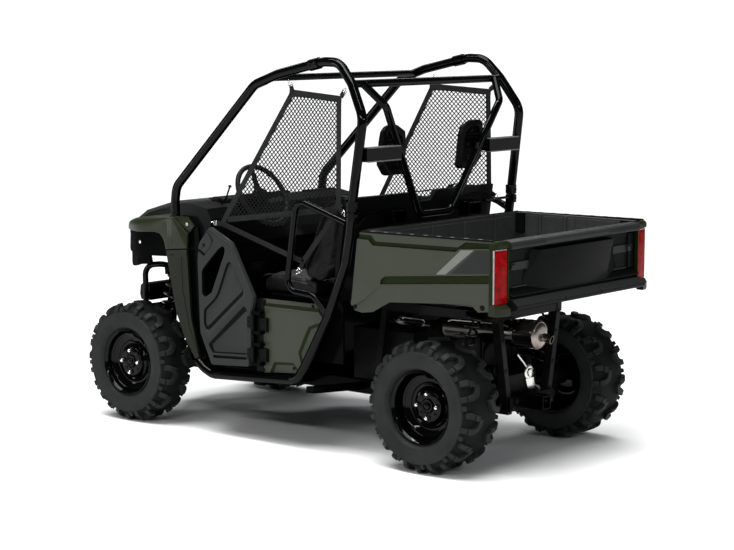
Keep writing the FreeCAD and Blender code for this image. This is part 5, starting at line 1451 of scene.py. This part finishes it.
two(fender)

# cowl strip between hood and dash with its small catches, hood crease ribs
cw = MB()
cw.join(prism([(640, 1100), (666, 1104), (664, 1112), (640, 1108)], -290, 290))
for y in (-200, -80, 80, 200):
    cw.join(prism(rounded([(600, 1102), (640, 1102), (640, 1112), (600, 1114)], 4, 2), y - 16, y + 16))
cw.join(tube([(470, 400, 1100), (440, 400, 1128), (413, 400, 1188)], 4.5, 10, 20))
cw.join(solid_rev([(0, 8), (6, 9), (10, 6)], (414, 400, 1184), (-0.3, 0, 1), 20))
cw.join(prism(rounded([(520, 1104), (600, 1100), (600, 1112), (530, 1118)], 5, 2), -520, -330))
cw.join(prism(rounded([(470, 1096), (560, 1104), (552, 1130), (486, 1124)], 10, 3), 190, 380))
to_object("cowl_details", cw, [BLACK], "chassis", bevel=2, seg=3)

# ------------------------------------------------------------------ steering wheel
ST = Vector((290, 300, 1147))
A = math.radians(30)
AX = Vector((-math.cos(A), 0, math.sin(A)))
e1 = Vector((0, 1, 0))
e2 = AX.cross(e1)
rimm = MB()
pts = [ST + (e1 * math.cos(a) + e2 * math.sin(a)) * 154 for a in [2 * math.pi * k / 72 for k in range(72)]]
rad = [12.6 + 0.5 * math.cos(8 * 2 * math.pi * k / 72) for k in range(72)]
rimm.join(tube(pts, rad, 16, closed=True))
to_object("steering_rim", rimm, [RUBBER], "steering_wheel", ("steering_wheel",), sharp=60)
spk = MB()
spk.join(solid_rev([(-44, 22), (-36, 25), (-30, 44), (-16, 46), (-4, 43), (2, 38), (5.5, 26), (6, 8)], ST, AX, 40))
for deg in (0, 180, 270):
    a = math.radians(deg)
    d = e1 * math.cos(a) + e2 * math.sin(a)
    c0, c1 = ST + AX * -14 + d * 30, ST + d * 146
    s = d.cross(AX).normalized()
    v = []
    for t, w, th in ((0, 44, 12), (0.35, 34, 9), (0.75, 26, 9), (1.0, 34, 10)):
        c = c0.lerp(c1, t)
        v += [c - s * w / 2 - AX * th / 2, c + s * w / 2 - AX * th / 2, c + s * w / 2 * 0.8 + AX * th / 2, c - s * w / 2 * 0.8 + AX * th / 2]
    f = [[0, 1, 2, 3], [12, 13, 14, 15]]
    for j in range(3):
        for k in range(4):
            f.append([4 * j + k, 4 * j + (k + 1) % 4, 4 * j + 4 + (k + 1) % 4, 4 * j + 4 + k])
    spk.add(v, f, 0)
to_object("steering_spokes", spk, [BLACK], "steering_wheel", ("steering_wheel",), bevel=2, seg=3)

# ------------------------------------------------------------------ floor, lights, camera
me = bpy.data.meshes.new("floor")
me.from_pydata([(-60, -60, 0), (60, -60, 0), (60, 60, 0), (-60, 60, 0)], [], [(0, 1, 2, 3)])
floor = bpy.data.objects.new("studio_floor", me)
bpy.context.scene.collection.objects.link(floor)
fm = mat("m_floor_pale", (0.86, 0.86, 0.86, 1), rough=0.9, spec=0.05, grain=0.02, grain_scale=200, mottle=0.004, mottle_scale=2, rough_var=0.03)
me.materials.append(fm)

w = bpy.data.worlds.new("studio")
bpy.context.scene.world = w
w.use_nodes = True
n, l = w.node_tree.nodes, w.node_tree.links
bg = n["Background"]
bg.inputs["Color"].default_value = (0.9, 0.95, 1.0, 1)
bg.inputs["Strength"].default_value = 0.12
bg2 = n.new("ShaderNodeBackground")
bg2.inputs["Color"].default_value = (1, 1, 1, 1)
bg2.inputs["Strength"].default_value = 1.3
lp = n.new("ShaderNodeLightPath")
mx = n.new("ShaderNodeMixShader")
l.new(lp.outputs["Is Camera Ray"], mx.inputs[0])
l.new(bg.outputs[0], mx.inputs[1])
l.new(bg2.outputs[0], mx.inputs[2])
l.new(mx.outputs[0], n["World Output"].inputs[0])


def sun(name, rot, strength, angle):
    d = bpy.data.lights.new(name, "SUN")
    d.energy = strength
    d.angle = math.radians(angle)
    o = bpy.data.objects.new(name, d)
    o.rotation_euler = [math.radians(a) for a in rot]
    bpy.context.scene.collection.objects.link(o)


def area(name, loc, target, size, energy, col=(1, 1, 1)):
    d = bpy.data.lights.new(name, "AREA")
    d.shape = "RECTANGLE"
    d.size, d.size_y = size
    d.energy = energy
    d.color = col
    o = bpy.data.objects.new(name, d)
    o.location = loc
    o.rotation_euler = (Vector(target) - Vector(loc)).to_track_quat("-Z", "Y").to_euler()
    bpy.context.scene.collection.objects.link(o)


sun("top_sun", (-9, 2, 0), 3.9, 46)
area("overhead_strip", (-0.2, 1.6, 4.4), (-0.2, 0, 0.9), (5.0, 0.14), 110)
area("left_strip", (-1.6, 5.4, 3.4), (-0.2, 0.3, 0.8), (4.4, 0.17), 95)
area("rear_strip", (-5.2, 1.0, 2.8), (-0.6, 0, 0.8), (2.4, 0.16), 36)
area("rim_strip", (2.6, -2.8, 4.4), (0.0, 0.0, 1.2), (6.0, 0.35), 105)
area("front_box", (4.6, 4.2, 1.15), (0.0, 0.4, 1.0), (0.40, 1.7), 26)

cam = bpy.data.cameras.new("camera")
cam.sensor_width = 36.0
cam.lens = 1998.99 / 734.0 * 36.0
cam.clip_end = 400.0
co = bpy.data.objects.new("camera", cam)
co.location = (-6.2153, 7.3964, 2.0050)
yaw, pitch = math.radians(-50.18), math.radians(-7.371)
view = Vector((math.cos(yaw) * math.cos(pitch), math.sin(yaw) * math.cos(pitch), math.sin(pitch)))
co.rotation_euler = view.to_track_quat("-Z", "Y").to_euler()
bpy.context.scene.collection.objects.link(co)
bpy.context.scene.camera = co
bpy.context.scene.view_settings.view_transform = "Standard"
bpy.context.scene.view_settings.look = "None"

bpy.context.view_layer.update()
